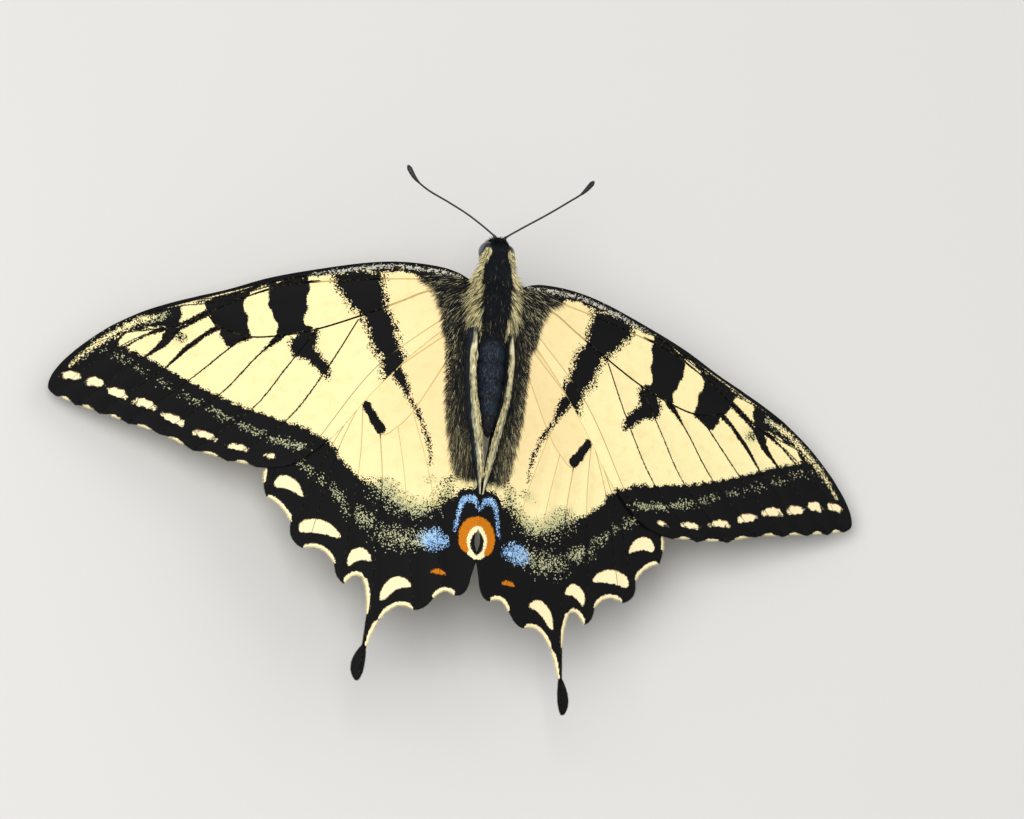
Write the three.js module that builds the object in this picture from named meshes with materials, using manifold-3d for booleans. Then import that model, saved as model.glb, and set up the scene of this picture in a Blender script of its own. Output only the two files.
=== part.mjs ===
// Tiger swallowtail butterfly, life size, standing on a floor with its wings spread and drooping.
// Millimetres. +Y towards the head, +X to the butterfly's right, +Z up.
// The body is drawn round a level line on which the planes of the left and right wings meet;
// the whole figure is lifted and centred over its footprint at the end.
import * as THREE from 'three';
import Module from 'manifold-3d';
import { mergeVertices } from 'three/addons/utils/BufferGeometryUtils.js';

const wasm = await Module();
wasm.setup();

const tau = Math.PI * 2;
const sides = [{ name: 'left', sign: -1 }, { name: 'right', sign: 1 }];

// Driving dimensions
const standHeight = 12.6; // floor to the line where the wing planes meet
const wingDroop = THREE.MathUtils.degToRad(15); // each wing below the level
const wingThickness = 0.5;
const wingGap = 0.3; // between forewing and hindwing where they lie over each other
const wingLift = { forewing: 0.15, hindwing: 0.15 - wingThickness - wingGap }; // of their middle planes
const pieceGap = 0.3; // between neighbouring pieces of the body
const limbThickness = 0.54; // legs, at their thinnest
const antennaThickness = 0.5;

// Wing outlines: [outwards from the midline, forwards], both in the plane of the wing
const forewing = {
  rootFront: [3.2, 2.0],
  costa: [[5, 2.7], [8.5, 2.95], [15, 2.0], [25, -1.1], [34, -4.55], [38.7, -8.15]],
  apex: [[40.9, -11.0], [41.1, -12.2], [40.3, -13.0]],
  veinEnds: [[38.4, -13.7], [36.1, -14.35], [33.4, -15.15], [30.4, -15.95], [27.2, -17.3],
    [23.9, -18.05], [21.2, -18.35]],
  scallopDepth: 0.22,
  innerMargin: [[18.4, -18.0], [14.9, -15.4], [12, -11.6], [9.3, -8.1], [4.6, -3.3]],
  rootRear: [3.2, -1.6],
};
const hindwing = {
  rootFront: [3.3, -0.7],
  hiddenCosta: [[8, -2.4], [13, -6.6], [17.5, -12], [19.9, -16.4]],
  outerCorner: [20.35, -18.4],
  // Margin from the outer corner to the anal lobe: each bend is [pull point, end point]
  margin: [
    [[20.7, -20.0], [20.0, -21.1]], [[18.5, -21.6], [17.55, -23.3]], // tooth, then a scallop
    [[18.0, -25.4], [16.4, -25.9]], [[14.3, -25.3], [13.2, -27.2]],
    [[13.5, -28.7], [12.3, -29.1]], [[11.5, -27.6], [10.4, -28.3]],
    [[9.9, -29.6], [10.0, -32.0]], [[10.1, -33.6], [10.2, -35.0]], // outer edge of the tail
    [[11.25, -36.2], [11.1, -37.5]], [[10.85, -38.5], [10.45, -38.5]], // spoon end of the tail
    [[9.75, -38.0], [9.7, -35.2]], [[9.6, -34.0], [8.85, -32.3]], // inner edge of the tail
    [[7.4, -29.8], [5.7, -31.0]], [[4.8, -31.2], [4.1, -30.0]],
    [[3.0, -28.2], [1.9, -29.3]], [[1.0, -29.5], [0.7, -27.6]], // anal lobe
  ],
  innerMargin: [[0.6, -24], [0.45, -17.5], [0.55, -15.3], [1.2, -12.6], [1.85, -9.6], [2.25, -6.2]],
  rootRear: [2.75, -3.4],
};
// The inner margin of each hindwing is turned up beside the abdomen as a fold that leans inwards over it:
// [distance along Y, crest outwards and up, free edge outwards and up, foot's inner side outwards]
const foldForm = [
  [-4.6, 2.35, -0.1, 1.85, 0.15, 1.85], [-6, 2.2, 0.1, 1.56, 0.38, 1.72],
  [-8, 2.05, 0.2, 1.44, 0.5, 1.64], [-9.6, 1.85, 0.2, 1.2, 0.55, 1.44],
  [-10.8, 1.68, 0.18, 0.97, 0.55, 1.24], [-12.5, 1.42, 0.1, 0.62, 0.45, 0.9],
  [-14.3, 1.05, 0.08, 0.3, 0.3, 0.45], [-16.6, 0.72, 0.08, 0.16, 0.14, 0.2],
  [-17.2, 0.64, 0.1, 0.16, 0.12, 0.2],
];
const foldLip = { inwards: 0.2, down: 0.38 }; // from the underside of the free edge to the edge itself
const foldFoot = 0.08; // the crest leans in from the foot's outer side
const foldSteps = 16;

// Trunk: each value is [distance along Y, half width, top, bottom]
const headForm = [
  [6.35, 0.35, -0.75, -1.25], [6.1, 0.85, -0.35, -1.75], [5.4, 1.15, 0.05, -2.3],
  [4.6, 1.15, 0.1, -2.35], [3.95, 0.85, -0.1, -2.0], [3.75, 0.4, -0.6, -1.4],
];
const trunkForm = [
  [3.7, 0.9, -0.1, -2.0], [3.1, 1.2, 0.15, -2.4], [2.4, 1.85, 0.6, -3.3], [1.4, 2.45, 1.05, -4.3],
  [0, 2.75, 1.3, -4.9], [-1.4, 2.6, 1.25, -4.8], [-2.6, 2.1, 0.9, -4.1], [-3.5, 1.7, 0.65, -3.4],
  [-5.2, 1.58, 0.7, -2.95], [-7.4, 1.45, 0.8, -2.5], [-9.6, 1.2, 0.8, -1.95], [-11.6, 0.82, 0.75, -1.05],
  [-13.2, 0.42, 0.55, -0.3], [-13.75, 0.1, 0.35, 0.05],
];
const neck = { front: 3.65, rear: 3.0 };
const thorax = { front: 2.7, rear: -3.2 };
const abdomen = { front: -3.5, rear: -13.75 };
const trunkSides = 18;
const abdomenRings = 8; // segments that show
const abdomenGroove = 0.07; // depth between two segments

const eye = { across: 0.86, along: 0.95, high: 1.05, out: 0.88, forward: 4.95, up: -0.85 };
const palp = { out: 0.5, root: [5.2, -2.75], bend: [6.3, -2.75], tip: [6.85, -1.6], radius: 0.3 };
const proboscis = { centre: [5.75, -3.75], outer: 1.1, inner: 0.4, turns: 1.45, radius: 0.2 };

// Antennae: [outwards, forwards, up] from the root on the brow to the tip of the club
const antenna = {
  left: [[0.62, 6.45, -0.2], [2.98, 7.8, -0.05], [5.2, 8.72, 0.15], [7.4, 9.5, 0.38], [8.77, 10.35, 0.5],
    [9.7, 11.55, 0.65]],
  right: [[0.62, 6.45, -0.2], [2.15, 7.6, -0.05], [4.45, 9.3, 0.15], [6.35, 10.8, 0.38], [7.6, 11.85, 0.5],
    [8.62, 13.2, 0.65]],
  clubStart: 0.8,
  clubRadius: 0.42,
};

// Legs: [outwards, forwards, above the floor] of the hip, knee, ankle and claw
const legs = [
  { name: 'foreleg', hip: [0.8, 1.6, 8.25], knee: [4.1, 3.9, 7.2],
    ankle: [5.3, 4.1, 0.9], claw: [8.9, 5.6, 0.22] },
  { name: 'midleg', hip: [1.2, 0.2, 7.75], knee: [6.6, 1.4, 6.9],
    ankle: [8.3, 1.0, 0.9], claw: [13.6, -0.8, 0.22] },
  { name: 'hindleg', hip: [1.1, -1.6, 7.9], knee: [4.9, -6.2, 6.9],
    ankle: [6.3, -10.4, 0.9], claw: [7.8, -16.6, 0.22] },
];
const tarsusJoints = 5;

// Colours and finishes
const finish = {
  coat: { color: 0x17171c, roughness: 0.85 },
  abdomen: { color: 0x232838, roughness: 0.7 },
  yellow: { color: 0xf7eebb, roughness: 0.75 },
  eye: { color: 0x2a2d3c, roughness: 0.25 },
  horn: { color: 0x141416, roughness: 0.5 },
};

function material(look) {
  return new THREE.MeshStandardMaterial({ color: look.color, roughness: look.roughness, metalness: 0 });
}

// A closed skin over rings of points: neighbouring rings are joined, and each end is closed by
// a fan of triangles round its middle.
function skinOver(rings) {
  const count = rings[0].length;
  const points = rings.flat();
  const middleOf = (ring) => ring.reduce((sum, p) => sum.add(p), new THREE.Vector3()).divideScalar(count);
  const front = points.push(middleOf(rings[0])) - 1;
  const rear = points.push(middleOf(rings.at(-1))) - 1;
  const faces = [];
  for (let j = 0; j < count; j++) {
    const next = (j + 1) % count;
    faces.push(front, next, j);
    for (let i = 0; i + 1 < rings.length; i++) {
      const here = i * count;
      const there = here + count;
      faces.push(here + j, here + next, there + j, here + next, there + next, there + j);
    }
    const last = (rings.length - 1) * count;
    faces.push(rear, last + j, last + next);
  }
  const geometry = new THREE.BufferGeometry().setFromPoints(points);
  geometry.setIndex(faces);
  geometry.computeVertexNormals();
  return geometry;
}

// A round limb along a curve: radiusAt(t) is its radius from the start, t = 0, to the end, t = 1.
function limb(curve, radiusAt, steps, count = 8) {
  const frames = curve.computeFrenetFrames(steps, false);
  const rings = [];
  for (let i = 0; i <= steps; i++) {
    const centre = curve.getPointAt(i / steps);
    const radius = radiusAt(i / steps);
    rings.push(Array.from({ length: count }, (_, j) => centre.clone()
      .addScaledVector(frames.normals[i], radius * Math.cos(j / count * tau))
      .addScaledVector(frames.binormals[i], radius * Math.sin(j / count * tau))));
  }
  return skinOver(rings);
}

// Value of one column of a form table at y, on a smooth curve through the table's rows.
function formAt(form, column, y) {
  const profile = new THREE.SplineCurve(form.map((row) => new THREE.Vector2(row[0], row[column])));
  const from = form[0][0];
  const to = form.at(-1)[0];
  let low = 0;
  let high = 1;
  for (let i = 0; i < 24; i++) {
    const middle = (low + high) / 2;
    if ((profile.getPoint(middle).x - y) * Math.sign(to - from) < 0) low = middle;
    else high = middle;
  }
  return profile.getPoint(low).y;
}

// A trunk piece: oval rings across Y at the given places, with the half width, top and bottom
// that its form table has there, shrunk by inset(y).
function trunkPiece(form, places, count = trunkSides, inset = () => 0) {
  return skinOver(places.map((y) => {
    const less = inset(y);
    const halfWidth = formAt(form, 1, y) - less;
    const top = formAt(form, 2, y) - less;
    const bottom = formAt(form, 3, y) + less;
    return Array.from({ length: count }, (_, j) => {
      const turn = j / count * tau;
      return new THREE.Vector3(
        halfWidth * Math.cos(turn), y, (top + bottom) / 2 + (top - bottom) / 2 * Math.sin(turn));
    });
  }));
}

function evenPlaces(from, to, steps) {
  return Array.from({ length: steps + 1 }, (_, i) => from + (to - from) * i / steps);
}

// Rings crowd towards both ends of a piece, where it closes.
function roundedPlaces(from, to, steps) {
  const middle = (from + to) / 2;
  const half = (from - to) / 2;
  return Array.from({ length: steps + 1 }, (_, i) => middle + half * Math.cos(i / steps * tau / 2));
}

// Joining and cutting closed shapes
function solidOf(geometry) {
  const bare = geometry.clone();
  bare.deleteAttribute('normal');
  bare.deleteAttribute('uv');
  const merged = mergeVertices(bare, 1e-4);
  return new wasm.Manifold(new wasm.Mesh({
    numProp: 3,
    vertProperties: merged.attributes.position.array,
    triVerts: merged.index.array,
  }));
}

function geometryOf(solid) {
  const mesh = solid.getMesh();
  const geometry = new THREE.BufferGeometry();
  geometry.setAttribute('position', new THREE.BufferAttribute(mesh.vertProperties, 3));
  geometry.setIndex(new THREE.BufferAttribute(mesh.triVerts, 1));
  geometry.computeVertexNormals();
  return geometry;
}

function mesh(name, geometry, look) {
  const piece = new THREE.Mesh(geometry, material(look));
  piece.name = name;
  return piece;
}

// Wings

function forewingShape(sign) {
  const at = ([out, forward]) => new THREE.Vector2(sign * out, forward);
  const shape = new THREE.Shape();
  shape.moveTo(...at(forewing.rootFront));
  shape.splineThru(forewing.costa.map(at));
  shape.splineThru(forewing.apex.map(at));
  // Each bay of the outer margin sags a little between two vein ends
  let from = forewing.apex.at(-1);
  for (const end of forewing.veinEnds) {
    const middle = [(from[0] + end[0]) / 2, (from[1] + end[1]) / 2 + 2 * forewing.scallopDepth];
    shape.quadraticCurveTo(...at(middle), ...at(end));
    from = end;
  }
  shape.splineThru(forewing.innerMargin.map(at));
  shape.lineTo(...at(forewing.rootRear));
  shape.closePath();
  return shape;
}

function hindwingShape(sign) {
  const at = ([out, forward]) => new THREE.Vector2(sign * out, forward);
  const shape = new THREE.Shape();
  shape.moveTo(...at(hindwing.rootFront));
  shape.splineThru([...hindwing.hiddenCosta, hindwing.outerCorner].map(at));
  for (const [pull, end] of hindwing.margin) {
    shape.quadraticCurveTo(...at(pull), ...at(end));
  }
  shape.splineThru([...hindwing.innerMargin, hindwing.rootRear].map(at));
  shape.closePath();
  return shape;
}

function plate(shape, lift, curveSegments) {
  const settings = { depth: wingThickness, bevelEnabled: false, curveSegments };
  return new THREE.ExtrudeGeometry(shape, settings).translate(0, 0, lift - wingThickness / 2);
}

// The turned-up inner margin of the left wing, as five-cornered rings: a wall on the wing with its
// crest bent inwards.
function leftFold() {
  const wingTop = (wingLift.hindwing + wingThickness / 2 + pieceGap) / Math.cos(wingDroop);
  const foot = (out) => [out, wingTop - out * Math.tan(wingDroop)];
  const rings = evenPlaces(foldForm[0][0], foldForm.at(-1)[0], foldSteps).map((y) => {
    const row = [1, 2, 3, 4, 5].map((column) => formAt(foldForm, column, y));
    const [crestOut, crestUp, edgeOut, edgeUp, innerFoot] = row;
    const corners = [
      [edgeOut, edgeUp], [crestOut, crestUp], foot(crestOut + foldFoot), foot(innerFoot),
      [edgeOut + foldLip.inwards, edgeUp - foldLip.down],
    ];
    return corners.map(([out, up]) => new THREE.Vector3(-out, y, up));
  });
  return skinOver(rings);
}

// The same shape on the other side of the midline, its faces turned over so that they still face out.
function mirrored(geometry) {
  const copy = geometry.clone().scale(-1, 1, 1);
  const faces = copy.index.array;
  for (let i = 0; i < faces.length; i += 3) [faces[i], faces[i + 1]] = [faces[i + 1], faces[i]];
  copy.computeVertexNormals();
  return copy;
}

function wingMeshes() {
  return sides.flatMap(({ name, sign }) => {
    const fore = mesh(`forewing_${name}`, plate(forewingShape(sign), wingLift.forewing, 4), finish.yellow);
    const hind = mesh(`hindwing_${name}`, plate(hindwingShape(sign), wingLift.hindwing, 4), finish.yellow);
    fore.rotation.y = sign * wingDroop;
    hind.rotation.y = sign * wingDroop;
    const fold = sign < 0 ? leftFold() : mirrored(leftFold());
    return [fore, hind, mesh(`hindwing_fold_${name}`, fold, finish.yellow)];
  });
}

// Head: the two eyes sit in sockets of the head
function headMeshes() {
  let head = solidOf(trunkPiece(headForm, roundedPlaces(headForm[0][0], headForm.at(-1)[0], 10)));
  const eyes = sides.map(({ name, sign }) => {
    const place = [sign * eye.out, eye.forward, eye.up];
    const ball = (grow) => new THREE.SphereGeometry(1, 16, 10)
      .scale(eye.across + grow, eye.along + grow, eye.high + grow).translate(...place);
    head = head.subtract(solidOf(ball(pieceGap / 2)));
    // The inner side of the ball is cut off short of the midline
    const halfSpace = new THREE.BoxGeometry(4, 8, 8).translate(sign * (2 + pieceGap), eye.forward, eye.up);
    return mesh(`eye_${name}`, geometryOf(solidOf(ball(0)).intersect(solidOf(halfSpace))), finish.eye);
  });
  return [mesh('head', geometryOf(head), finish.coat), ...eyes];
}

function mouthMeshes() {
  const palps = sides.map(({ name, sign }) => {
    const at = ([y, z]) => new THREE.Vector3(sign * palp.out, y, z);
    const curve = new THREE.CatmullRomCurve3([at(palp.root), at(palp.bend), at(palp.tip)]);
    const swell = (t) => palp.radius * (0.75 + 0.25 * Math.sin(t * Math.PI))
      * Math.min(1, 0.4 + (1 - t) * 6);
    return mesh(`palp_${name}`, limb(curve, swell, 8), finish.coat);
  });
  // The coiled tongue: a spiral in the midplane, its turns a small gap apart
  const [centreY, centreZ] = proboscis.centre;
  const steps = 26;
  const spiral = evenPlaces(0, 1, steps).map((t) => {
    const turn = Math.PI / 2 + t * proboscis.turns * tau;
    const radius = THREE.MathUtils.lerp(proboscis.outer, proboscis.inner, t);
    return new THREE.Vector3(0, centreY + radius * Math.cos(turn), centreZ + radius * Math.sin(turn));
  });
  const tongue = limb(new THREE.CatmullRomCurve3(spiral), () => proboscis.radius, steps, 8);
  return [...palps, mesh('proboscis', tongue, finish.horn)];
}

function antennaMeshes() {
  return sides.map(({ name, sign }) => {
    const line = antenna[name].map(([x, y, z]) => new THREE.Vector3(sign * x, y, z));
    const curve = new THREE.CatmullRomCurve3(line);
    const thin = antennaThickness / 2;
    const radiusAt = (t) => {
      const along = Math.max(0, (t - antenna.clubStart) / (1 - antenna.clubStart));
      return thin + (antenna.clubRadius - thin) * Math.sin(Math.min(1, along * 1.25) * Math.PI / 2)
        - (along > 0.8 ? (along - 0.8) * 1.4 : 0);
    };
    return mesh(`antenna_${name}`, limb(curve, radiusAt, 24), finish.horn);
  });
}

function trunkMeshes() {
  const groove = (y) => {
    const along = (y - abdomen.front) / (abdomen.rear - abdomen.front) * abdomenRings;
    return abdomenGroove * Math.cos(along * tau / 2) ** 8;
  };
  const tail = evenPlaces(abdomen.front, abdomen.rear, abdomenRings * 3);
  return [
    mesh('neck', trunkPiece(trunkForm, evenPlaces(neck.front, neck.rear, 2)), finish.coat),
    mesh('thorax', trunkPiece(trunkForm, evenPlaces(thorax.front, thorax.rear, 14)), finish.coat),
    mesh('abdomen', trunkPiece(trunkForm, tail, trunkSides, groove), finish.abdomen),
  ];
}

// Legs: a femur with its coxa, a tibia, and a jointed tarsus whose underside is flat on the floor
function legMeshes() {
  const thin = limbThickness / 2;
  const floor = solidOf(new THREE.BoxGeometry(100, 100, 10).translate(0, 0, -standHeight - 5));
  return legs.flatMap((leg) => sides.flatMap(({ name, sign }) => {
    const at = ([out, forward, height]) => new THREE.Vector3(sign * out, forward, height - standHeight);
    const [hip, knee, ankle, claw] = [leg.hip, leg.knee, leg.ankle, leg.claw].map(at);
    const short = (from, to, trimFrom, trimTo) => {
      const along = to.clone().sub(from).normalize();
      return [from.clone().addScaledVector(along, trimFrom), to.clone().addScaledVector(along, -trimTo)];
    };
    const coxaDrop = new THREE.Vector3(sign * 0.35, 0, -1.0);
    const femurLine = new THREE.CatmullRomCurve3(
      [hip, hip.clone().add(coxaDrop), ...short(hip.clone().add(coxaDrop), knee, 1.6, 0.35)]);
    const tibiaLine = new THREE.LineCurve3(...short(knee, ankle, 0.35, 0.35));
    const reach = ankle.clone().lerp(claw, 0.42);
    reach.z = claw.z;
    const tarsusLine = new THREE.CatmullRomCurve3([...short(ankle, reach, 0.35, 0), claw]);
    const beads = (t) => thin * (1 + 0.14 * Math.abs(Math.sin(t * tarsusJoints * Math.PI)));
    const tarsus = solidOf(limb(tarsusLine, beads, 10)).subtract(floor);
    return [
      mesh(`${leg.name}_femur_${name}`, limb(femurLine, (t) => thin * (1.5 - 0.5 * t), 10), finish.coat),
      mesh(`${leg.name}_tibia_${name}`, limb(tibiaLine, () => thin, 4), finish.coat),
      mesh(`${leg.name}_tarsus_${name}`, geometryOf(tarsus), finish.coat),
    ];
  }));
}

const butterfly = new THREE.Group();
butterfly.add(...headMeshes(), ...mouthMeshes(), ...antennaMeshes(), ...trunkMeshes());
butterfly.add(...wingMeshes(), ...legMeshes());

// The floor is level zero, and the origin is under the middle of the figure's outline
butterfly.updateMatrixWorld(true);
const outline = new THREE.Box3().setFromObject(butterfly, true);
const middle = outline.getCenter(new THREE.Vector3());
butterfly.position.set(-middle.x, -middle.y, standHeight);

export default butterfly;
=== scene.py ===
# The looks of a life-size tiger swallowtail butterfly, wings spread and drooping, standing on its feet.
# Tables are in millimetres, meshes in metres. On a wing, u runs outwards from the midline, v forwards
# and w up out of the wing's plane.
import math
import bpy
import numpy as np
from mathutils import Matrix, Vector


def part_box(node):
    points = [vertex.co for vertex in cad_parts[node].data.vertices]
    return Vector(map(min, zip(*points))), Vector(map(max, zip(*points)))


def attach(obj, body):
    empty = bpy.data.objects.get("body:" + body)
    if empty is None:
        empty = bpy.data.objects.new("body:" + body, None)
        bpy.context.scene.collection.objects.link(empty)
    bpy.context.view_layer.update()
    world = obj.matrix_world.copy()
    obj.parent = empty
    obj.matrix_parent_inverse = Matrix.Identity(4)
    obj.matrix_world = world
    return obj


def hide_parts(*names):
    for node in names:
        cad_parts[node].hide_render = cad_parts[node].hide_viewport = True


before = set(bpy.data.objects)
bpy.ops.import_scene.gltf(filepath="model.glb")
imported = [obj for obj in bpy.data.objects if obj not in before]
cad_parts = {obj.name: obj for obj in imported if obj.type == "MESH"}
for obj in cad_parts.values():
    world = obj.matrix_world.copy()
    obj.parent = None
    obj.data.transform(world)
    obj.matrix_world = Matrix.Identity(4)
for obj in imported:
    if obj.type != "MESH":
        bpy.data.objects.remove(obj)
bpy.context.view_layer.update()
mm = 0.001
tau = 2 * math.pi

# How the insect stands: the wings' planes meet on a level line through bodyOrigin
pose = {"wingDroop": math.radians(15), "standHeight": 12.6, "tailReach": 38.5}
bodyOrigin = np.array([0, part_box("hindwing_right")[0].y + pose["tailReach"] * mm, pose["standHeight"] * mm])
sides = {"left": -1, "right": 1}


def inFrame(points):  # body millimetres to frame metres: origin + mm p
    return bodyOrigin + np.asarray(points, float) * mm


def onWing(u, v, w, side):
    # Wing plane turned down by the droop: x = side (u cos + w sin), z = w cos - u sin
    c, s = math.cos(pose["wingDroop"]), math.sin(pose["wingDroop"])
    return inFrame(np.stack([side * (u * c + w * s), v, w * c - u * s], -1))


# Lines and distances


def smoothLine(points, perSpan, closed=False):
    # Catmull-Rom: (2b + (c-a)t + (2a-5b+4c-d)t^2 + (3b-a-3c+d)t^3) / 2 between each b and c
    p = np.asarray(points, float)
    if closed:
        a, b, c, d = (np.roll(p, k, 0)[:, None] for k in (1, 0, -1, -2))
    else:
        full = np.vstack([2 * p[0] - p[1], p, 2 * p[-1] - p[-2]])
        a, b, c, d = (full[k:len(full) - 3 + k][:, None] for k in range(4))
    t = (np.arange(perSpan) / perSpan)[None, :, None]
    line = (2 * b + (c - a) * t + (2 * a - 5 * b + 4 * c - d) * t**2 + (3 * b - a - 3 * c + d) * t**3) / 2
    line = line.reshape(-1, p.shape[1])
    return line if closed else np.vstack([line, p[-1]])


def bentLine(start, bends, perBend=6):
    # Quadratic bends: (1-t)^2 start + 2t(1-t) pull + t^2 end, each from the last one's end
    ends = np.array([b[1] for b in bends], float)
    pulls = np.array([b[0] for b in bends], float)
    starts = np.vstack([start, ends[:-1]])
    t = (np.arange(1, perBend + 1) / perBend)[None, :, None]
    line = (1 - t) ** 2 * starts[:, None] + 2 * t * (1 - t) * pulls[:, None] + t**2 * ends[:, None]
    return line.reshape(-1, 2)


def nearestOn(xy, line, closed=False):
    # Distance to a line, nearest point and how far along it lies: the best projection on its segments
    ends = np.roll(line, -1, 0) if closed else line[1:]
    starts = line if closed else line[:-1]
    best = np.full(len(xy), 1e9)
    point = np.zeros((len(xy), 2))
    along = np.zeros(len(xy))
    for i, (a, b) in enumerate(zip(starts, ends)):
        ab = b - a
        t = np.clip((xy - a) @ ab / max(ab @ ab, 1e-12), 0, 1)
        foot = a + t[:, None] * ab
        d = np.hypot(*(xy - foot).T)
        closer = d < best
        best[closer] = d[closer]
        point[closer] = foot[closer]
        along[closer] = (i + t[closer]) / len(starts)
    return best, point, along


def alongLine(along, table):  # a table's values, evenly spaced from 0 to 1 along a line
    return np.interp(along, np.linspace(0, 1, len(table)), table)


def pickAlong(place, t, table):  # each column of a table over t, read at the places
    return np.stack([np.interp(place, t, column) for column in table.T], -1)


def outlineDistance(xy, outline):
    # Signed distance to a closed outline, negative inside, where an odd number of edges is crossed
    distance, point, _ = nearestOn(xy, outline, closed=True)
    inside = np.zeros(len(xy), bool)
    for a, b in zip(outline, np.roll(outline, -1, 0)):
        spans = (a[1] > xy[:, 1]) != (b[1] > xy[:, 1])
        crossing = a[0] + (xy[:, 1] - a[1]) / (b[1] - a[1] + 1e-12) * (b[0] - a[0])
        inside ^= spans & (xy[:, 0] < crossing)
    return np.where(inside, -distance, distance), point


def patchDistance(xy, outline):  # the same to a patch with rounded corners
    return outlineDistance(xy, smoothLine(outline, 4, closed=True))[0]


def smoothStep(low, high, x):  # 0 below low, 1 above high, 3t^2 - 2t^3 between
    t = np.clip((x - low) / (high - low), 0, 1)
    return t * t * (3 - 2 * t)


# Shapes: points (n, 3) in metres, faces as index arrays, values per point, uv per point or corner


def unit(vectors):
    return vectors / (np.linalg.norm(vectors, axis=-1, keepdims=True) + 1e-12)


def facingOut(shape):
    # Turns every face over where the volume, the sum of p0 . (p1 x p2) / 6, is negative
    volume = 0
    for f in shape["faces"]:
        for k in range(1, f.shape[1] - 1):
            p0, p1, p2 = (shape["points"][f[:, i]] for i in (0, k, k + 1))
            volume += np.einsum("ij,ij->", p0 - shape["points"][0], np.cross(p1 - p0, p2 - p0))
    if volume < 0:
        shape["faces"] = [f[:, ::-1] for f in shape["faces"]]
        if shape.get("cornerUv") is not None:
            shape["cornerUv"] = [uv[:, ::-1] for uv in shape["cornerUv"]]
    return shape


def joined(parts):
    # One shape from several: each one's faces are shifted past the points before it
    shift = np.cumsum([0] + [len(p["points"]) for p in parts])
    shape = {"points": np.vstack([p["points"] for p in parts]),
             "faces": [f + n for p, n in zip(parts, shift) for f in p["faces"]],
             "values": {key: np.concatenate([p["values"][key] for p in parts]) for key in parts[0]["values"]}}
    if "uv" in parts[0]:
        shape["uv"] = np.vstack([p["uv"] for p in parts])
    return shape


def makePiece(name, shape, material, replaced=()):
    # The shape as a mesh with its values and bake map, riding the part's one body
    mesh = bpy.data.meshes.new(name)
    corners = np.concatenate([f.ravel() for f in shape["faces"]])
    sizes = np.concatenate([np.full(len(f), f.shape[1]) for f in shape["faces"]])
    mesh.vertices.add(len(shape["points"]))
    mesh.vertices.foreach_set("co", np.ascontiguousarray(shape["points"], np.float32).ravel())
    mesh.loops.add(len(corners))
    mesh.loops.foreach_set("vertex_index", corners.astype(np.int32))
    mesh.polygons.add(len(sizes))
    mesh.polygons.foreach_set("loop_start", (np.cumsum(sizes) - sizes).astype(np.int32))
    mesh.polygons.foreach_set("use_smooth", np.full(len(sizes), True))
    mesh.update(calc_edges=True)
    flat = None
    if "uv" in shape:
        flat = shape["uv"][corners]
    if shape.get("cornerUv") is not None:
        flat = np.concatenate([uv.reshape(-1, 2) for uv in shape["cornerUv"]])
    if flat is not None:
        mesh.uv_layers.new(name="OFBake").data.foreach_set("uv", flat.astype(np.float32).ravel())
    for key, value in shape["values"].items():
        mesh.attributes.new(key, "FLOAT", "POINT").data.foreach_set("value", value.astype(np.float32))
    piece = bpy.data.objects.new(name, mesh)
    bpy.context.scene.collection.objects.link(piece)
    mesh.materials.append(material)
    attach(piece, "root")
    if replaced:
        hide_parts(*replaced)
    triangles = int((sizes - 2).sum())
    print(f"{name}: {triangles} triangles")
    return piece


def ringFaces(rings, around):
    # Quads between neighbouring rings of points
    i, j = np.meshgrid(np.arange(rings - 1), np.arange(around), indexing="ij")
    a = i * around + j
    b = i * around + (j + 1) % around
    return np.stack([a, b, b + around, a + around], -1).reshape(-1, 4)


def overRings(rings, values):
    # Closed skin over (count, around, 3) points, each end a fan round its middle
    count, around = rings.shape[:2]
    points = np.vstack([rings.reshape(-1, 3), rings[0].mean(0), rings[-1].mean(0)])
    j = np.arange(around)
    following = (j + 1) % around
    last = (count - 1) * around
    fans = np.vstack([np.stack([following, j, np.full(around, count * around)], -1),
                      np.stack([last + j, last + following, np.full(around, count * around + 1)], -1)])
    kept = {key: np.append(np.broadcast_to(v, (count, around)).ravel(), [np.mean(v[0]), np.mean(v[-1])])
            for key, v in values.items()}
    # Along and around as the bake's own map; the last column ends at 1
    at = lambda across, along: np.stack([across, along + 0 * across], -1)
    i, k = np.meshgrid(np.arange(count - 1), j, indexing="ij")
    corner = np.stack([at(k, i), at(k + 1, i), at(k + 1, i + 1), at(k, i + 1)], -2).reshape(-1, 4, 2)
    fanUv = np.vstack([np.stack([at(j + 1, 0), at(j, 0), at(j + 0.5, -1)], 1),
                       np.stack([at(j, count - 1), at(j + 1, count - 1), at(j + 0.5, count)], 1)])
    scale = np.array([1 / around, 1 / (count + 1)])
    shift = np.array([0, 1 / (count + 1)])
    return facingOut({"points": points, "faces": [ringFaces(count, around), fans], "values": kept,
                      "cornerUv": [corner * scale + shift, fanUv * scale + shift]})


def tube(line, radius, around, values, tall=1.0):
    # centre(t) + radius(t) (side cos a + tall over sin a), side carried along the line without twisting
    line = np.asarray(line, float)
    tangent = unit(np.gradient(line, axis=0))
    side = np.zeros_like(line)
    helper = (0, 0, 1) if abs(tangent[0][2]) < 0.8 else (1, 0, 0)
    side[0] = unit(np.cross(tangent[0], helper))
    for i in range(1, len(line)):
        side[i] = unit(side[i - 1] - tangent[i] * (side[i - 1] @ tangent[i]))
    over = np.cross(side, tangent)
    turn = np.arange(around) / around * tau
    rings = line[:, None] + np.asarray(radius)[:, None, None] * (
        side[:, None] * np.cos(turn)[:, None] + tall * over[:, None] * np.sin(turn)[:, None])
    return overRings(rings, {key: np.asarray(v)[:, None] for key, v in values.items()})


lock = {"rings": 3, "around": 3, "rootWidth": 0.7, "taper": 1.6, "mapSize": 0.003}


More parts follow.
